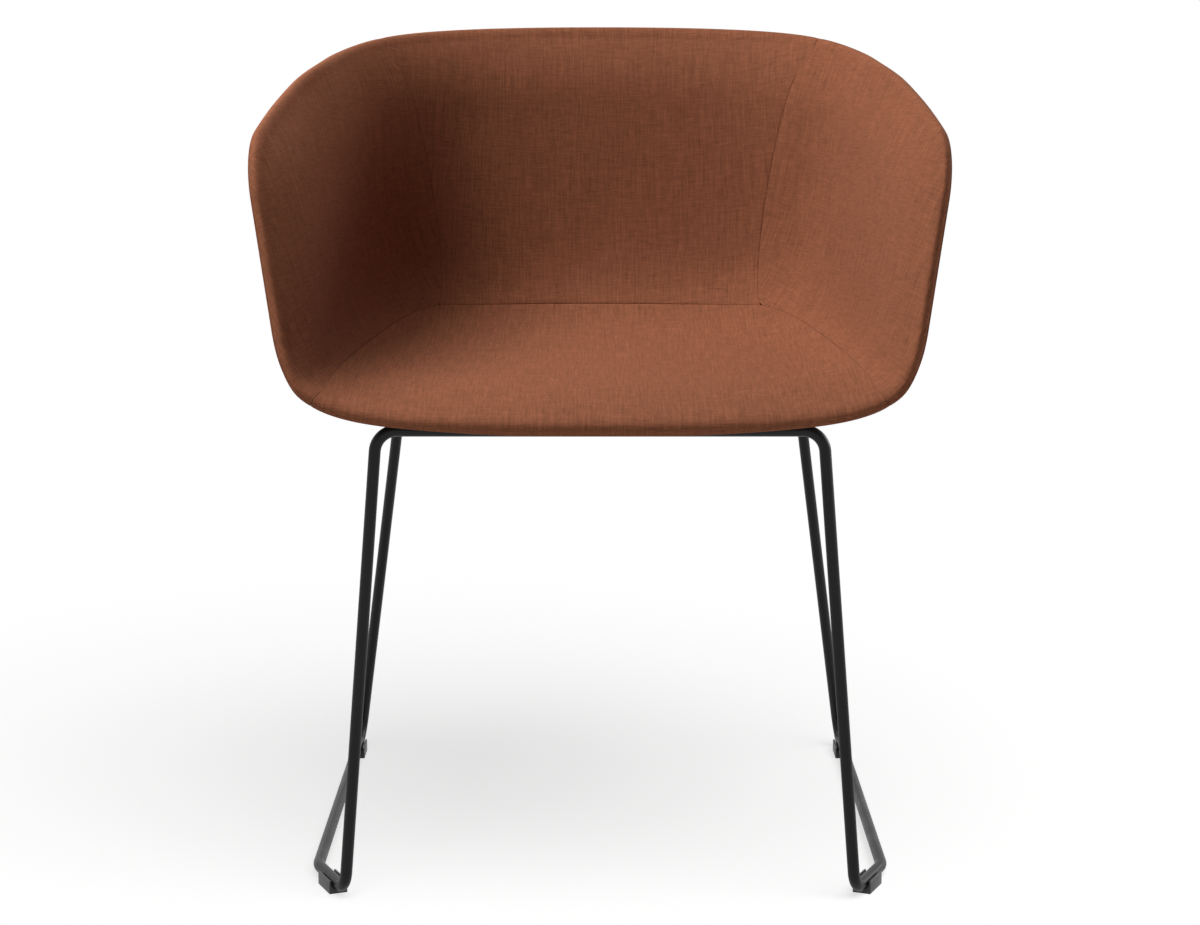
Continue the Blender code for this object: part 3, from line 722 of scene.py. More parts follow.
    def outer_edge_section(self, near: float, hang: np.ndarray) -> tuple[np.ndarray, np.ndarray]:
        """Section of the outer cover's edge at each line: tucked behind the pad, or a lip on the seat front.

        Args:
            near: distance of the cover's back from the inner face of the shell.
            hang: how far the lip hangs below the cover at each line.

        Returns:
            How far out over the rim and how far off the shell, each lines x rows.
        """
        far = near + self.form.cover
        rim_inset = self.drawn_in(self.rim_distance, self.outer_round, self.outer_soft)[:, None]
        turn = np.radians(np.linspace(0, 90, self.outer_rows))[None, :]
        reach, top = self.lip_top
        tuck_start, tuck_reach = self.outer_tuck
        tucked = tuck_start + tuck_reach * np.sin(turn) - self.outer_trim * self.trimmed()
        lip = self.lip_start + (reach - self.lip_start) * np.sin(turn) ** self.lip_power
        out = mix(tucked, lip, self.front)
        off = mix(-near - self.form.cover * np.cos(turn),
                  -top - (far + hang - top) * np.cos(turn).clip(0) ** self.lip_power, self.front)
        lead = np.linspace(*self.outer_lead)[None, :] + 0 * hang
        out = np.concatenate([lead, out - rim_inset * (out > self.outer_edge[0])], axis=1)
        off = np.concatenate([-far - hang * smooth(1 + lead / self.lip_hang_reach), off], axis=1)
        return out, off + rim_inset * (off < self.outer_edge[1])

    def outer_faces(self) -> tuple[np.ndarray, np.ndarray]:
        """Showing face and back of the outer cover.

        Returns:
            Points of each, lines x rows x 3.
        """
        near = self.form.shell + self.form.gap
        inset = self.drawn_in(self.seam_distance, self.outer_round, self.outer_soft)
        start, span = self.lip_hang_lines
        least, more = self.lip_hang
        hang = self.front * (least + more * smooth((np.abs(self.lines) - start) / span)[:, None])
        depth = near + self.form.cover - inset + hang * smooth(1 - self.to_rim / self.lip_hang_reach)
        wall = self.point - depth[..., None] * self.normal
        face = np.concatenate([wall, self.rim_rows(*self.outer_edge_section(near, hang))], axis=1)
        share = np.linspace(0, 1, self.outer_lead[2] + self.outer_rows)
        back_out = np.minimum(mix(*self.back_run, share), self.back_stop) + 0 * hang
        rise = np.clip((share - self.back_turn) / (1 - self.back_turn), 0, 1)
        back_off = -near + (near - self.back_top) * rise * self.front
        back = np.concatenate([self.point - near * self.normal, self.rim_rows(back_out, back_off)], axis=1)
        return face, back

    def flatten_pattern(self, piece: bpy.types.Object) -> None:
        """Unwrap the sheet like a cut pattern and scale its UV map to metres, with the warp along the grain.

        Args:
            piece: the sheet.
        """
        mesh = piece.data
        bpy.ops.object.mode_set(mode="EDIT")
        bpy.ops.mesh.select_all(action="SELECT")
        bpy.ops.uv.unwrap(method="CONFORMAL", margin=0.0)
        bpy.ops.object.mode_set(mode="OBJECT")
        layer = mesh.uv_layers.active
        flat = np.empty(len(mesh.loops) * 2)
        layer.uv.foreach_get("vector", flat)
        flat = flat.reshape(-1, 2)
        corner = np.empty(len(mesh.loops), int)
        mesh.loops.foreach_get("vertex_index", corner)
        place = np.empty(len(mesh.vertices) * 3)
        mesh.vertices.foreach_get("co", place)
        place = place.reshape(-1, 3)[corner]
        centred = flat - flat.mean(axis=0)
        slope = np.linalg.lstsq(centred, place - place.mean(axis=0), rcond=None)[0]
        warp = slope @ np.array(self.plan.grain.value)
        warp /= np.linalg.norm(warp)
        turn = np.array([[warp[1], -warp[0]], [warp[0], warp[1]]])
        quads = centred.reshape(-1, 4, 2)
        first, second = quads[:, 2] - quads[:, 0], quads[:, 3] - quads[:, 1]
        flat_area = np.abs(first[:, 0] * second[:, 1] - first[:, 1] * second[:, 0]).sum() / 2
        area = sum(face.area for face in mesh.polygons)
        layer.uv.foreach_set("vector", (centred @ turn.T * math.sqrt(area / flat_area)).ravel())

    def sew(self, name: str, face: np.ndarray, back: np.ndarray) -> bpy.types.Object:
        """Make a closed piece from its showing face and its back.

        Args:
            name: the piece's name.
            face: points of the showing face, lines x rows x 3.
            back: points of the back, lines x rows x 3.

        Returns:
            The piece, shaded smooth, with a UV map in metres.
        """
        piece, place = grid_piece(face)
        mesh = piece.data
        for label, values in zip(("line", "row"), place.T):
            kept = mesh.attributes.new(label, "INT", "POINT")
            kept.data.foreach_set("value", np.ascontiguousarray(values))
        self.flatten_pattern(piece)
        bpy.ops.object.mode_set(mode="EDIT")
        bpy.ops.mesh.select_all(action="SELECT")
        bpy.ops.mesh.extrude_region()
        bpy.ops.object.mode_set(mode="OBJECT")
        count = len(mesh.vertices)
        lifted, line, row = np.empty(count, bool), np.empty(count, np.int32), np.empty(count, np.int32)
        mesh.vertices.foreach_get("select", lifted)
        mesh.attributes["line"].data.foreach_get("value", line)
        mesh.attributes["row"].data.foreach_get("value", row)
        mesh.vertices.foreach_set("co", np.where(lifted[:, None], back[line, row], face[line, row]).ravel())
        for label in ("line", "row"):
            mesh.attributes.remove(mesh.attributes[label])
        bpy.ops.object.mode_set(mode="EDIT")
        bpy.ops.mesh.select_all(action="SELECT")
        bpy.ops.mesh.normals_make_consistent(inside=False)
        bpy.ops.object.mode_set(mode="OBJECT")
        bpy.ops.object.shade_smooth_by_angle(angle=math.radians(self.smooth_angle))
        return settle(piece, name)

    def build(self, layer: Layer) -> bpy.types.Object:
        """Build the pad or the outer cover of this panel.

        Args:
            layer: which of them.

        Returns:
            The piece.
        """
        if layer is Layer.PAD:
            return self.sew(f"{self.plan.name}_pad", *self.pad_faces())
        return self.sew(f"{self.plan.outer_name}_panel", *self.outer_faces())


@dataclass(frozen=True)
class Finish:
    """A surface finish. Subclasses draw its nodes."""

    name: str
    colour: tuple[float, float, float]
    roughness: float
    slot: str

    def material(self) -> bpy.types.Material:
        """Make the node material of this finish, once.

        Returns:
            The material.
        """
        found = bpy.data.materials.get(self.name)
        if found:
            return found
        made = bpy.data.materials.new(self.name)
        made.use_nodes = True
        made.diffuse_color = (*self.colour, 1.0)
        shader = made.node_tree.nodes["Principled BSDF"]
        shader.inputs["Base Color"].default_value = (*self.colour, 1.0)
        shader.inputs["Roughness"].default_value = self.roughness
        self.draw(made.node_tree, shader)
        return made

    def draw(self, tree: bpy.types.NodeTree, shader: bpy.types.Node) -> None:
        """Add the nodes that this finish needs."""

    def dress(self, *pieces: bpy.types.Object) -> None:
        """Give pieces this finish.

        Args:
            pieces: the pieces to dress.
        """
        for piece in pieces:
            piece.data.materials.clear()
            piece.data.materials.append(self.material())


class Sketch:
    """Shorthand for drawing nodes in a tree."""

    def __init__(self, tree: bpy.types.NodeTree) -> None:
        """Draw in the given tree."""
        self.tree = tree

    def node(self, kind: str, **settings: object) -> bpy.types.Node:
        """Add a node.

        Args:
            kind: its type.
            settings: properties to set on it.

        Returns:
            The node.
        """
        made = self.tree.nodes.new(kind)
        for name, value in settings.items():
            setattr(made, name, value)
        return made

    def plug(self, socket: bpy.types.NodeSocket, value: object) -> None:
        """Link an output to a socket, or set a value on it.

        Args:
            socket: the input to fill.
            value: an output or a plain value.
        """
        if isinstance(value, bpy.types.NodeSocket):
            self.tree.links.new(value, socket)
        else:
            socket.default_value = value

    def math(self, operation: str, *values: object) -> bpy.types.NodeSocket:
        """Add a Math node.

        Args:
            operation: what it works out.
            values: outputs or numbers for its inputs.

        Returns:
            Its output.
        """
        made = self.node("ShaderNodeMath", operation=operation)
        for socket, value in zip(made.inputs, values):
            self.plug(socket, value)
        return made.outputs[0]

    def choose(self, switch: bpy.types.NodeSocket, off: bpy.types.NodeSocket,
               on: bpy.types.NodeSocket) -> bpy.types.NodeSocket:
        """Choose between two values by a switch of 0 or 1.

        Args:
            switch: the switch.
            off: value where it is 0.
            on: value where it is 1.

        Returns:
            The chosen value.
        """
        return self.math("ADD", self.math("MULTIPLY", on, switch),
                         self.math("MULTIPLY", off, self.math("SUBTRACT", 1.0, switch)))

    def vector(self, x: object, y: object, z: object = 0.0) -> bpy.types.NodeSocket:
        """Join three values into a vector.

        Args:
            x: first part, an output or a number.
            y: second part.
            z: third part.

        Returns:
            The vector.
        """
        made = self.node("ShaderNodeCombineXYZ")
        for socket, value in zip(made.inputs, (x, y, z)):
            self.plug(socket, value)
        return made.outputs[0]

    def noise(self, vector: bpy.types.NodeSocket, scale: float,
              detail: float = 2.0) -> bpy.types.NodeSocket:
        """Add a noise texture.

        Args:
            vector: place to read it at.
            scale: cells in a unit of that place.
            detail: finer layers on it.

        Returns:
            Its value.
        """
        made = self.node("ShaderNodeTexNoise")
        self.plug(made.inputs["Vector"], vector)
        self.plug(made.inputs["Scale"], scale)
        self.plug(made.inputs["Detail"], detail)
        return made.outputs["Fac"]

    def span(self, value: bpy.types.NodeSocket, low: float, high: float, start: float = 0.0,
             end: float = 1.0) -> bpy.types.NodeSocket:
        """Map a value from one span to another.

        Args:
            value: the value to map.
            low: what start becomes.
            high: what end becomes.
            start: low end of the span it comes from.
            end: high end of that span.

        Returns:
            The mapped value.
        """
        made = self.node("ShaderNodeMapRange")
        for socket, number in zip(made.inputs, (value, start, end, low, high)):
            self.plug(socket, number)
        return made.outputs[0]

    def bump(self, height: bpy.types.NodeSocket, strength: float, distance: float) -> bpy.types.NodeSocket:
        """Add a bump.

        Args:
            height: its height, from 0 to 1.
            strength: how strongly it shows.
            distance: how far 1 stands up, in metres.

        Returns:
            The bumped normal.
        """
        made = self.node("ShaderNodeBump")
        for name, value in (("Strength", strength), ("Distance", distance), ("Height", height)):
            self.plug(made.inputs[name], value)
        return made.outputs[0]

    def shade(self, colour: tuple[float, float, float],
              factor: bpy.types.NodeSocket) -> bpy.types.NodeSocket:
        """Multiply a colour by a factor.

        Args:
            colour: the colour.
            factor: the factor.

        Returns:
            The shaded colour.
        """
        made = self.node("ShaderNodeVectorMath", operation="SCALE")
        self.plug(made.inputs[0], colour)
        self.plug(made.inputs["Scale"], factor)
        return made.outputs[0]

    def seen_directly(self) -> bpy.types.NodeSocket:
        """Tell the rays of the camera and of reflections from the light that falls on the chair.

        Returns:
            1 for such a ray, 0 for any other.
        """
        path = self.node("ShaderNodeLightPath")
        bent = self.math("MAXIMUM", path.outputs["Is Glossy Ray"], path.outputs["Is Transmission Ray"])
        return self.math("MAXIMUM", path.outputs["Is Camera Ray"], bent)


@dataclass(frozen=True)
class WovenCloth(Finish):
    """Plain weave of melange yarn on the pattern's own UV map, in metres.

    A streak is given by how many of its noise cells lie in a metre across the warp and along it.
    """

    pitch: float = 0.00085
    slub: float = 0.013
    yarn_step: float = 1.73
    contrast: float = 0.36
    streak: float = 0.16
    warp_streak: tuple[float, float] = (520.0, 18.0)
    weft_streak: tuple[float, float] = (45.0, 520.0)
    weft_share: float = 0.35
    weft_layer: float = 7.3
    streak_layer: float = 3.1
    noise_span: tuple[float, float] = (0.25, 0.75)
    hump: float = 0.6
    bump_strength: float = 0.35
    bump_depth: float = 0.0003
    roughness_span: float = 0.06
    gloss: float = 0.03
    sheen: float = 0.03
    sheen_roughness: float = 0.45
    sheen_tint: tuple[float, float, float, float] = (0.95, 0.78, 0.68, 1.0)

    def draw(self, tree: bpy.types.NodeTree, shader: bpy.types.Node) -> None:
        """Draw warp and weft yarns with their own tones, slubs and slow streaks.

        Args:
            tree: the material's node tree.
            shader: its Principled node.
        """
        pen = Sketch(tree)
        place = pen.node("ShaderNodeSeparateXYZ")
        pen.plug(place.inputs[0], pen.node("ShaderNodeUVMap", uv_map="UVMap").outputs[0])
        across, along = place.outputs[0], place.outputs[1]
        warp, weft = (pen.math("MULTIPLY", value, 1 / self.pitch) for value in (across, along))
        warp_number, weft_number = pen.math("FLOOR", warp), pen.math("FLOOR", weft)
        over = pen.math("FLOORED_MODULO", pen.math("ADD", warp_number, weft_number), 2.0)
        warp_tone = pen.noise(pen.vector(pen.math("MULTIPLY", warp_number, self.yarn_step),
                                         pen.math("MULTIPLY", along, 1 / self.slub)), 1.0)
        weft_tone = pen.noise(pen.vector(pen.math("MULTIPLY", across, 1 / self.slub),
                                         pen.math("MULTIPLY", weft_number, self.yarn_step),
                                         self.weft_layer), 1.0)
        tone = pen.choose(over, weft_tone, warp_tone)
        depth = pen.math("ADD", pen.span(tone, 1 - self.contrast, 1 + self.contrast, *self.noise_span),
                         self.draw_streaks(pen, across, along))
        pen.plug(shader.inputs["Base Color"], pen.shade(self.colour, depth))
        warp_hump, weft_hump = (pen.math("SINE", pen.math("MULTIPLY", pen.math("FRACT", yarn), math.pi))
                                for yarn in (warp, weft))
        hump = pen.choose(over, weft_hump, warp_hump)
        height = pen.math("ADD", pen.math("MULTIPLY", hump, self.hump), tone)
        pen.plug(shader.inputs["Normal"], pen.bump(height, self.bump_strength, self.bump_depth))
        pen.plug(shader.inputs["Roughness"], pen.span(tone, self.roughness - self.roughness_span,
                                                      self.roughness + self.roughness_span))
        shader.inputs["Specular IOR Level"].default_value = self.gloss
        shader.inputs["Sheen Weight"].default_value = self.sheen
        shader.inputs["Sheen Roughness"].default_value = self.sheen_roughness
        shader.inputs["Sheen Tint"].default_value = self.sheen_tint

    def draw_streaks(self, pen: Sketch, across: bpy.types.NodeSocket,
                     along: bpy.types.NodeSocket) -> bpy.types.NodeSocket:
        """Draw the slow streaks of both yarns.

        Args:
            pen: draws in the material's tree.
            across: place across the warp.
            along: place along the warp.

        Returns:
            The tone that the streaks add.
        """
        plans = ((self.warp_streak, 0.0, self.streak),
                 (self.weft_streak, self.streak_layer, self.weft_share * self.streak))
        tones = []
        for (cells_across, cells_along), layer, strength in plans:
            place = pen.vector(pen.math("MULTIPLY", across, cells_across),
                               pen.math("MULTIPLY", along, cells_along), layer)
            tones.append(pen.span(pen.noise(place, 1.0), -strength, strength, *self.noise_span))
        return pen.math("ADD", *tones)


@dataclass(frozen=True)
class FineGrain(Finish):
    """A paint, plastic or metal with a fine grain in its colour, gloss and surface."""

    metallic: float = 0.0
    grain_scale: float = 900.0
    grain_depth: float = 0.00006
    grain_bump: float = 0.3
    grain_gloss: float = 0.04
    cloud_scale: float = 24.0
    cloud_gloss: float = 0.05
    noise_span: tuple[float, float] = (0.3, 0.7)
    noise_detail: float = 3.0
    tone: float = 0.15
    gloss: float = 0.5

    def draw(self, tree: bpy.types.NodeTree, shader: bpy.types.Node) -> None:
        """Draw the grain and a slower cloud of gloss.

        Args:
            tree: the material's node tree.
            shader: its Principled node.
        """
        pen = Sketch(tree)
        place = pen.node("ShaderNodeTexCoord").outputs["Object"]
        grain = pen.noise(place, self.grain_scale, self.noise_detail)
        cloud = pen.noise(place, self.cloud_scale, self.noise_detail)
        depth = pen.span(cloud, 1 - self.tone, 1 + self.tone, *self.noise_span)
        pen.plug(shader.inputs["Base Color"], pen.shade(self.colour, depth))
        uneven = pen.math("ADD", pen.span(cloud, -self.cloud_gloss, self.cloud_gloss, *self.noise_span),
                          pen.span(grain, -self.grain_gloss, self.grain_gloss, *self.noise_span))
        pen.plug(shader.inputs["Roughness"], pen.math("ADD", uneven, self.roughness))
        pen.plug(shader.inputs["Normal"], pen.bump(grain, self.grain_bump, self.grain_depth))
        shader.inputs["Metallic"].default_value = self.metallic
        shader.inputs["Specular IOR Level"].default_value = self.gloss


CLOTH = WovenCloth("rust_melange_cloth", (0.215, 0.0775, 0.0400), 0.88, "fabric")
POWDER = FineGrain("black_powder_coat", (0.007, 0.007, 0.0075), 0.40, "powder_coat", gloss=0.2)
GLIDE_PLASTIC = FineGrain("glide_plastic", (0.028, 0.028, 0.030), 0.52, "glide", grain_scale=600.0)
SHELL_PLASTIC = FineGrain("shell_plastic", (0.045, 0.045, 0.050), 0.55, "shell", grain_scale=350.0)
ZINC = FineGrain("zinc_plate", (0.56, 0.56, 0.58), 0.34, "zinc", metallic=1.0, tone=0.06)
BRASS = FineGrain("turned_brass", (0.72, 0.53, 0.26), 0.36, "brass", metallic=1.0, tone=0.06)
FOAM = FineGrain("seat_foam", (0.80, 0.76, 0.62), 0.95, "foam", grain_scale=450.0, gloss=0.1)


@dataclass
class Upholstery:
    """All padded panels and outer covers of the bucket."""

    form: BucketForm = field(default_factory=BucketForm)
    dart: float = 0.575
    back_crown: float = 0.006
    arm_crown: float = 0.005
    seat_crown: float = 0.004

    def plans(self) -> list[PanelPlan]:
        """Cut the sewing pattern into panels.

        Returns:
            The plan of each panel.
        """
        back, front, arm = self.form.back_seam, self.form.front_seam, self.arm_crown
        return [
            PanelPlan("back", -back, back, Grain.UP, self.back_crown, "outer_back"),
            PanelPlan("left_arm", -front, -back, Grain.UP, arm, "outer_left", (-self.dart,)),
            PanelPlan("right_arm", back, front, Grain.UP, arm, "outer_right", (self.dart,)),
            PanelPlan("seat", front, 2 - front, Grain.REARWARD, self.seat_crown, "under"),
        ]

    def build(self) -> list[bpy.types.Object]:
        """Build every panel, dress it and set it on the frame.

        Returns:
            The pieces made.
        """
        made = []
        for plan in self.plans():
            panel = SewnPanel(self.form, plan)
            pad = panel.build(Layer.PAD)
            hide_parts(f"{plan.name}_cover", f"{plan.name}_foam")
            outer = panel.build(Layer.OUTER)
            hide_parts(f"{plan.outer_name}_cover")
            for piece in (pad, outer):
                CLOTH.dress(piece)
                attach(piece, "root")
                made.append(piece)
        return made


@dataclass
class SledBase:
    """Bent rod base with its glides.

    The corners of the rod are given by their shares of the chair's width and depth.
    """

    form: BucketForm
    rod: float = 0.011
    rod_rounding: int = 7
    rod_smooth_angle: float = 50.0
    bend: float = 0.020
    toe_bend: float = 0.016
    kink_bend: float = 0.045
    bend_steps: int = 12
    bar_drop: float = 0.0377
    front_bar: tuple[float, float] = (0.316, -0.382)
    toe: tuple[float, float] = (0.3645, -0.443)
    kink: tuple[float, float] = (0.4144, -0.313)
    heel: tuple[float, float] = (0.4144, 0.503)
    rear_bar: tuple[float, float] = (0.316, 0.217)
    glide_length: float = 0.0346
    glide_width: float = 0.0172
    glide_base: float = 0.0035
    glide_height: float = 0.0122
    glide_bevel: float = 0.0007
    glide_bevel_rows: int = 3
    glide_bevel_profile: float = 0.6
    glide_edge: float = 0.0003
    glide_edge_rows: int = 2
    glide_edge_angle: float = 40.0
    glide_smooth_angle: float = 35.0
    toe_offset: float = 0.0375
    groove_sides: int = 64
    groove_clear: float = 0.00025
    groove_length: float = 0.08
    groove_spread: float = 1.16
    groove_spread_from: float = -0.0008
    groove_open_from: float = 0.001

    def __post_init__(self) -> None:
        """Place the corners of the rod."""
        width, depth = self.form.width, self.form.depth
        bar_z = self.form.seat_height - self.bar_drop
        self.rod_z = self.glide_base + self.form.gap + self.rod / 2
        levels = ((self.front_bar, bar_z), (self.toe, self.rod_z), (self.kink, self.rod_z),
                  (self.heel, self.rod_z), (self.rear_bar, bar_z))
        self.right = [Vector((x * width, y * depth, z)) for (x, y), z in levels]
        self.left = [Vector((-x, y, z)) for x, y, z in self.right]

    def rounded(self, corners: list[Vector], radii: list[float]) -> list[Vector]:
        """Round the corners of a closed path.

        Args:
            corners: corner points in order.
            radii: bend radius at each corner.

        Returns:
            Points of the rounded path.
        """
        path = []
        for index, (corner, radius) in enumerate(zip(corners, radii)):
            back = (corners[index - 1] - corner).normalized()
            arm = (corners[(index + 1) % len(corners)] - corner).normalized()
            turn = math.pi - back.angle(arm)
            centre = corner + (back + arm).normalized() * radius / math.cos(turn / 2)
            spoke = corner + back * radius * math.tan(turn / 2) - centre
            axis = back.cross(arm).normalized()
            path += [centre + Matrix.Rotation(-turn * step / self.bend_steps, 3, axis) @ spoke
                     for step in range(self.bend_steps + 1)]
        return path

    def build_rod(self) -> bpy.types.Object:
        """Sweep the rod round the whole base.

        Returns:
            The rod.
        """
        corners = self.right + self.left[::-1]
        radii = [self.bend, self.toe_bend, self.kink_bend, self.bend, self.bend]
        path = self.rounded(corners, radii + radii[::-1])
        curve = bpy.data.curves.new("sled_rod", "CURVE")
        curve.dimensions = "3D"
        curve.bevel_depth = self.rod / 2
        curve.bevel_resolution = self.rod_rounding
        spline = curve.splines.new("POLY")
        spline.points.add(len(path) - 1)
        spline.points.foreach_set("co", [value for point in path for value in (*point, 1.0)])
        spline.use_cyclic_u = True
        rod = bpy.data.objects.new("sled_rod", curve)
        bpy.context.collection.objects.link(rod)
        select_only(rod)
        bpy.ops.object.convert(target="MESH")
        bpy.ops.object.shade_smooth_by_angle(angle=math.radians(self.rod_smooth_angle))
        return settle(bpy.context.object, "sled_rod")

    def build_groove(self) -> bpy.types.Object:
        """Model the cutter of a glide's channel: the rod with a clearance, opened upward.

        Returns:
            The cutter.
        """
        bpy.ops.mesh.primitive_cylinder_add(vertices=self.groove_sides, depth=self.groove_length,
                                            radius=self.rod / 2 + self.groove_clear,
                                            location=(0, 0, self.rod_z), rotation=(0, math.pi / 2, 0))
        groove = bpy.context.object
        bpy.ops.object.transform_apply(location=True, rotation=True, scale=True)
        for vert in groove.data.vertices:
            if vert.co.z > self.rod_z + self.groove_spread_from:
                vert.co.y *= self.groove_spread
            if vert.co.z > self.rod_z + self.groove_open_from:
                vert.co.z += self.rod
        return groove

    def build_glide(self, name: str, middle: Vector, along: Vector) -> bpy.types.Object:
        """Model one glide: a channel whose walls stand a little off the rod.

        Args:
            name: the piece's name.
            middle: point on the rod over the glide's middle.
            along: direction of the rod.

        Returns:
            The glide.
        """
        select_only()
        bpy.ops.mesh.primitive_cube_add(size=1.0, location=(0, 0, self.glide_height / 2))
        glide = bpy.context.object
        glide.scale = (self.glide_length, self.glide_width, self.glide_height)
        bpy.ops.object.transform_apply(location=True, rotation=True, scale=True)
        bpy.ops.object.mode_set(mode="EDIT")
        bpy.ops.mesh.select_all(action="SELECT")
        bpy.ops.mesh.bevel(offset=self.glide_bevel, segments=self.glide_bevel_rows,
                           profile=self.glide_bevel_profile, affect="EDGES")
        bpy.ops.object.mode_set(mode="OBJECT")
        groove = self.build_groove()
        select_only(glide)
        cut = glide.modifiers.new("groove", "BOOLEAN")
        cut.object, cut.operation, cut.solver = groove, "DIFFERENCE", "EXACT"
        edge = glide.modifiers.new("edge", "BEVEL")
        edge.width, edge.segments = self.glide_edge, self.glide_edge_rows
        edge.limit_method, edge.angle_limit = "ANGLE", math.radians(self.glide_edge_angle)
        apply_modifiers(glide)
        bpy.data.objects.remove(groove)
        bpy.ops.object.shade_smooth_by_angle(angle=math.radians(self.glide_smooth_angle))
        glide.rotation_euler = (0, 0, math.atan2(along.y, along.x))
        glide.location = (middle.x, middle.y, 0)
        return settle(glide, name)

    def build(self) -> list[bpy.types.Object]:
        """Build the rod and the glides, dress them and set them on the frame.

        Returns:
            The pieces made.
        """
        rod = self.build_rod()
        POWDER.dress(rod)
        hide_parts("left_sled_rod", "right_sled_rod")
        made = [rod]
        for side, corners in (("left", self.left), ("right", self.right)):
            _, toe, kink, heel, top = corners
            ahead, along = (kink - toe).normalized(), (heel - kink).normalized()
            half_turn = (math.pi - (kink - heel).angle(top - heel)) / 2
            back_off = self.bend * math.tan(half_turn) + self.glide_length / 2
            for end, middle, way in (("front", toe + ahead * self.toe_offset, ahead),
                                     ("rear", heel - along * back_off, along)):
                glide = self.build_glide(f"{end}_{side}_foot", middle, way)
                GLIDE_PLASTIC.dress(glide)
                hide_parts(f"{end}_{side}_glide")
                made.append(glide)
        for piece in made:
            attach(piece, "root")
        return made


@dataclass
class HiddenStructure:
    """Moulded shell, straps and screws that stay as the frame has them."""

    def dress(self) -> None:
        """Give each carried node its finish."""
        finishes = {"moulded_shell": SHELL_PLASTIC, "strap": POWDER, "insert": BRASS, "screw": ZINC,
                    "foam": FOAM, "cover": CLOTH, "rod": POWDER, "glide": GLIDE_PLASTIC}
        for name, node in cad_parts.items():
            finish = next(finish for key, finish in finishes.items() if key in name)
            if finish is not CLOTH:
                finish.dress(node)


@dataclass(frozen=True)
class Softbox:
    """One rectangular lamp: where it hangs, the point it faces, its width and height, and its watts."""

    name: str
    place: tuple[float, float, float]
    aim: tuple[float, float, float]
    size: tuple[float, float]
    power: float
    shows: bool = True

    def hang(self) -> bpy.types.Object:
        """Hang the lamp.

        Returns:
            The lamp.
        """
        bpy.ops.object.light_add(type="AREA", location=self.place)
        lamp = bpy.context.object
        lamp.name = self.name
        lamp.data.shape = "RECTANGLE"
        lamp.data.size, lamp.data.size_y = self.size
        lamp.data.energy = self.power
        lamp.rotation_euler = (Vector(self.aim) - Vector(self.place)).to_track_quat("-Z", "Y").to_euler()
        if not self.shows:
            lamp.visible_camera = lamp.visible_glossy = False
        return lamp


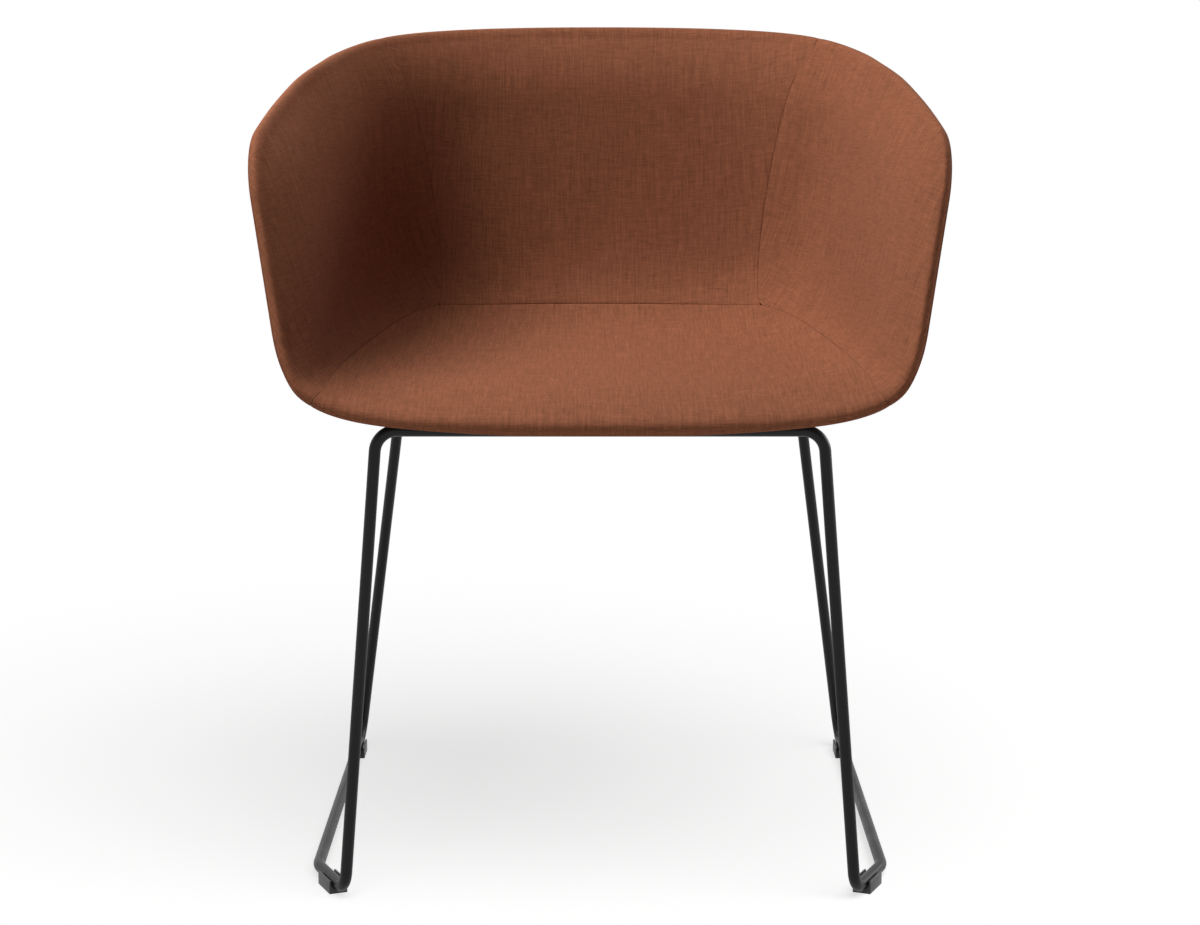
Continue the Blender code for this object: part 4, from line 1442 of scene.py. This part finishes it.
@dataclass
class Studio:
    """Pale floor, soft light and the camera of the photograph."""

    image: tuple[int, int] = (1200, 925)
    focal_px: float = 2734.0
    sensor: float = 36.0
    eye: tuple[float, float, float] = (0.0, -2.65, 0.796)
    pitch: float = 9.2957
    ambient: float = 0.06
    floor_size: float = 40.0
    floor_cuts: int = 4
    floor_drop: float = 0.0002
    floor_tone: float = 0.8
    floor_glow: float = 0.69
    floor_sun: float = 1.22
    sun_angle: float = 56.0
    sun_place: tuple[float, float, float] = (0.4, -0.8, 3.0)
    sun_way: tuple[float, float, float] = (-0.21, 0.42, -0.80)
    softboxes: tuple[Softbox, ...] = (
        Softbox("key_softbox", (-1.2, 0.3, 2.6), (0, 0, 0.5), (0.8, 0.8), 37.0),
        Softbox("front_softbox", (-1.5, -0.5, 2.4), (0, 0, 0.5), (1.0, 1.0), 40.0),
        Softbox("top_softbox", (-0.58, 0.55, 2.95), (0, 0, 0.5), (1.2, 1.2), 25.0),
        Softbox("floor_card", (0.0, -1.1, 0.02), (0, -1.0, 1.0), (2.6, 1.4), 21.0, shows=False),
        Softbox("side_softbox", (2.2, 0.8, 1.12), (-0.28, 0, 0.7), (1.2, 0.7), 30.0),
    )

    def build_floor(self) -> bpy.types.Object:
        """Lay a wide floor that is white to the camera and keeps the chair's soft shadow.

        Returns:
            The floor.
        """
        select_only()
        bpy.ops.mesh.primitive_plane_add(size=self.floor_size, location=(0, 0, -self.floor_drop))
        floor = bpy.context.object
        bpy.ops.object.mode_set(mode="EDIT")
        bpy.ops.mesh.subdivide(number_cuts=self.floor_cuts)
        bpy.ops.object.mode_set(mode="OBJECT")
        material = bpy.data.materials.new("pale_floor")
        material.use_nodes = True
        pen = Sketch(material.node_tree)
        material.node_tree.nodes.clear()
        seen = pen.seen_directly()
        glow = pen.node("ShaderNodeEmission")
        pen.plug(glow.inputs["Strength"], pen.math("MULTIPLY", seen, self.floor_glow))
        matt = pen.node("ShaderNodeBsdfDiffuse")
        matt.inputs["Color"].default_value = (self.floor_tone, self.floor_tone, self.floor_tone, 1.0)
        both = pen.node("ShaderNodeAddShader")
        pen.plug(both.inputs[0], glow.outputs[0])
        pen.plug(both.inputs[1], matt.outputs[0])
        pen.plug(pen.node("ShaderNodeOutputMaterial").inputs["Surface"], both.outputs[0])
        floor.data.materials.append(material)
        settle(floor, "studio_floor")
        return floor

    def light_world(self) -> None:
        """White backdrop to the camera, a dim even fill to the chair."""
        world = bpy.data.worlds.new("studio")
        bpy.context.scene.world = world
        world.use_nodes = True
        pen = Sketch(world.node_tree)
        shown = pen.math("MULTIPLY", pen.seen_directly(), 1 - self.ambient)
        sky = world.node_tree.nodes["Background"]
        pen.plug(sky.inputs["Strength"], pen.math("ADD", shown, self.ambient))
        sky.inputs["Color"].default_value = (1.0, 1.0, 1.0, 1.0)

    def part_lamps(self, floor: bpy.types.Object, lamps: list[bpy.types.Object]) -> None:
        """Give the floor its own broad soft light, and keep the chair's lamps off it.

        Args:
            floor: the studio floor.
            lamps: the lamps that shape the chair.
        """
        bpy.ops.object.light_add(type="SUN", location=self.sun_place)
        sun = bpy.context.object
        sun.name = "floor_skylight"
        sun.data.energy = self.floor_sun
        sun.data.angle = math.radians(self.sun_angle)
        sun.rotation_euler = Vector(self.sun_way).to_track_quat("-Z", "Y").to_euler()
        only = bpy.data.collections.new("floor_only")
        only.objects.link(floor)
        sun.light_linking.receiver_collection = only
        rest = bpy.data.collections.new("all_but_floor")
        rest.objects.link(floor)
        rest.collection_objects[0].light_linking.link_state = "EXCLUDE"
        for lamp in lamps:
            lamp.light_linking.receiver_collection = rest

    def place_camera(self) -> None:
        """Stand the camera where the photograph was taken from."""
        select_only()
        bpy.ops.object.camera_add(location=self.eye, rotation=(math.radians(90 - self.pitch), 0, 0))
        camera = bpy.context.object
        camera.data.sensor_fit = "HORIZONTAL"
        camera.data.sensor_width = self.sensor
        camera.data.lens = self.sensor * self.focal_px / self.image[0]
        bpy.context.scene.camera = camera

    def build(self) -> None:
        """Set up the whole studio."""
        self.place_camera()
        floor = self.build_floor()
        self.light_world()
        self.part_lamps(floor, [softbox.hang() for softbox in self.softboxes])
        bpy.context.scene.view_settings.view_transform = "Standard"


def main() -> None:
    """Build the studio and the chair, then log the face count of each piece made."""
    logging.basicConfig(level=logging.INFO, format="%(name)s: %(message)s")
    Studio().build()
    HiddenStructure().dress()
    upholstery = Upholstery()
    for piece in upholstery.build() + SledBase(upholstery.form).build():
        LOG.info("%s: %d faces", piece.name, len(piece.data.polygons))


if __name__ == "__main__":
    main()
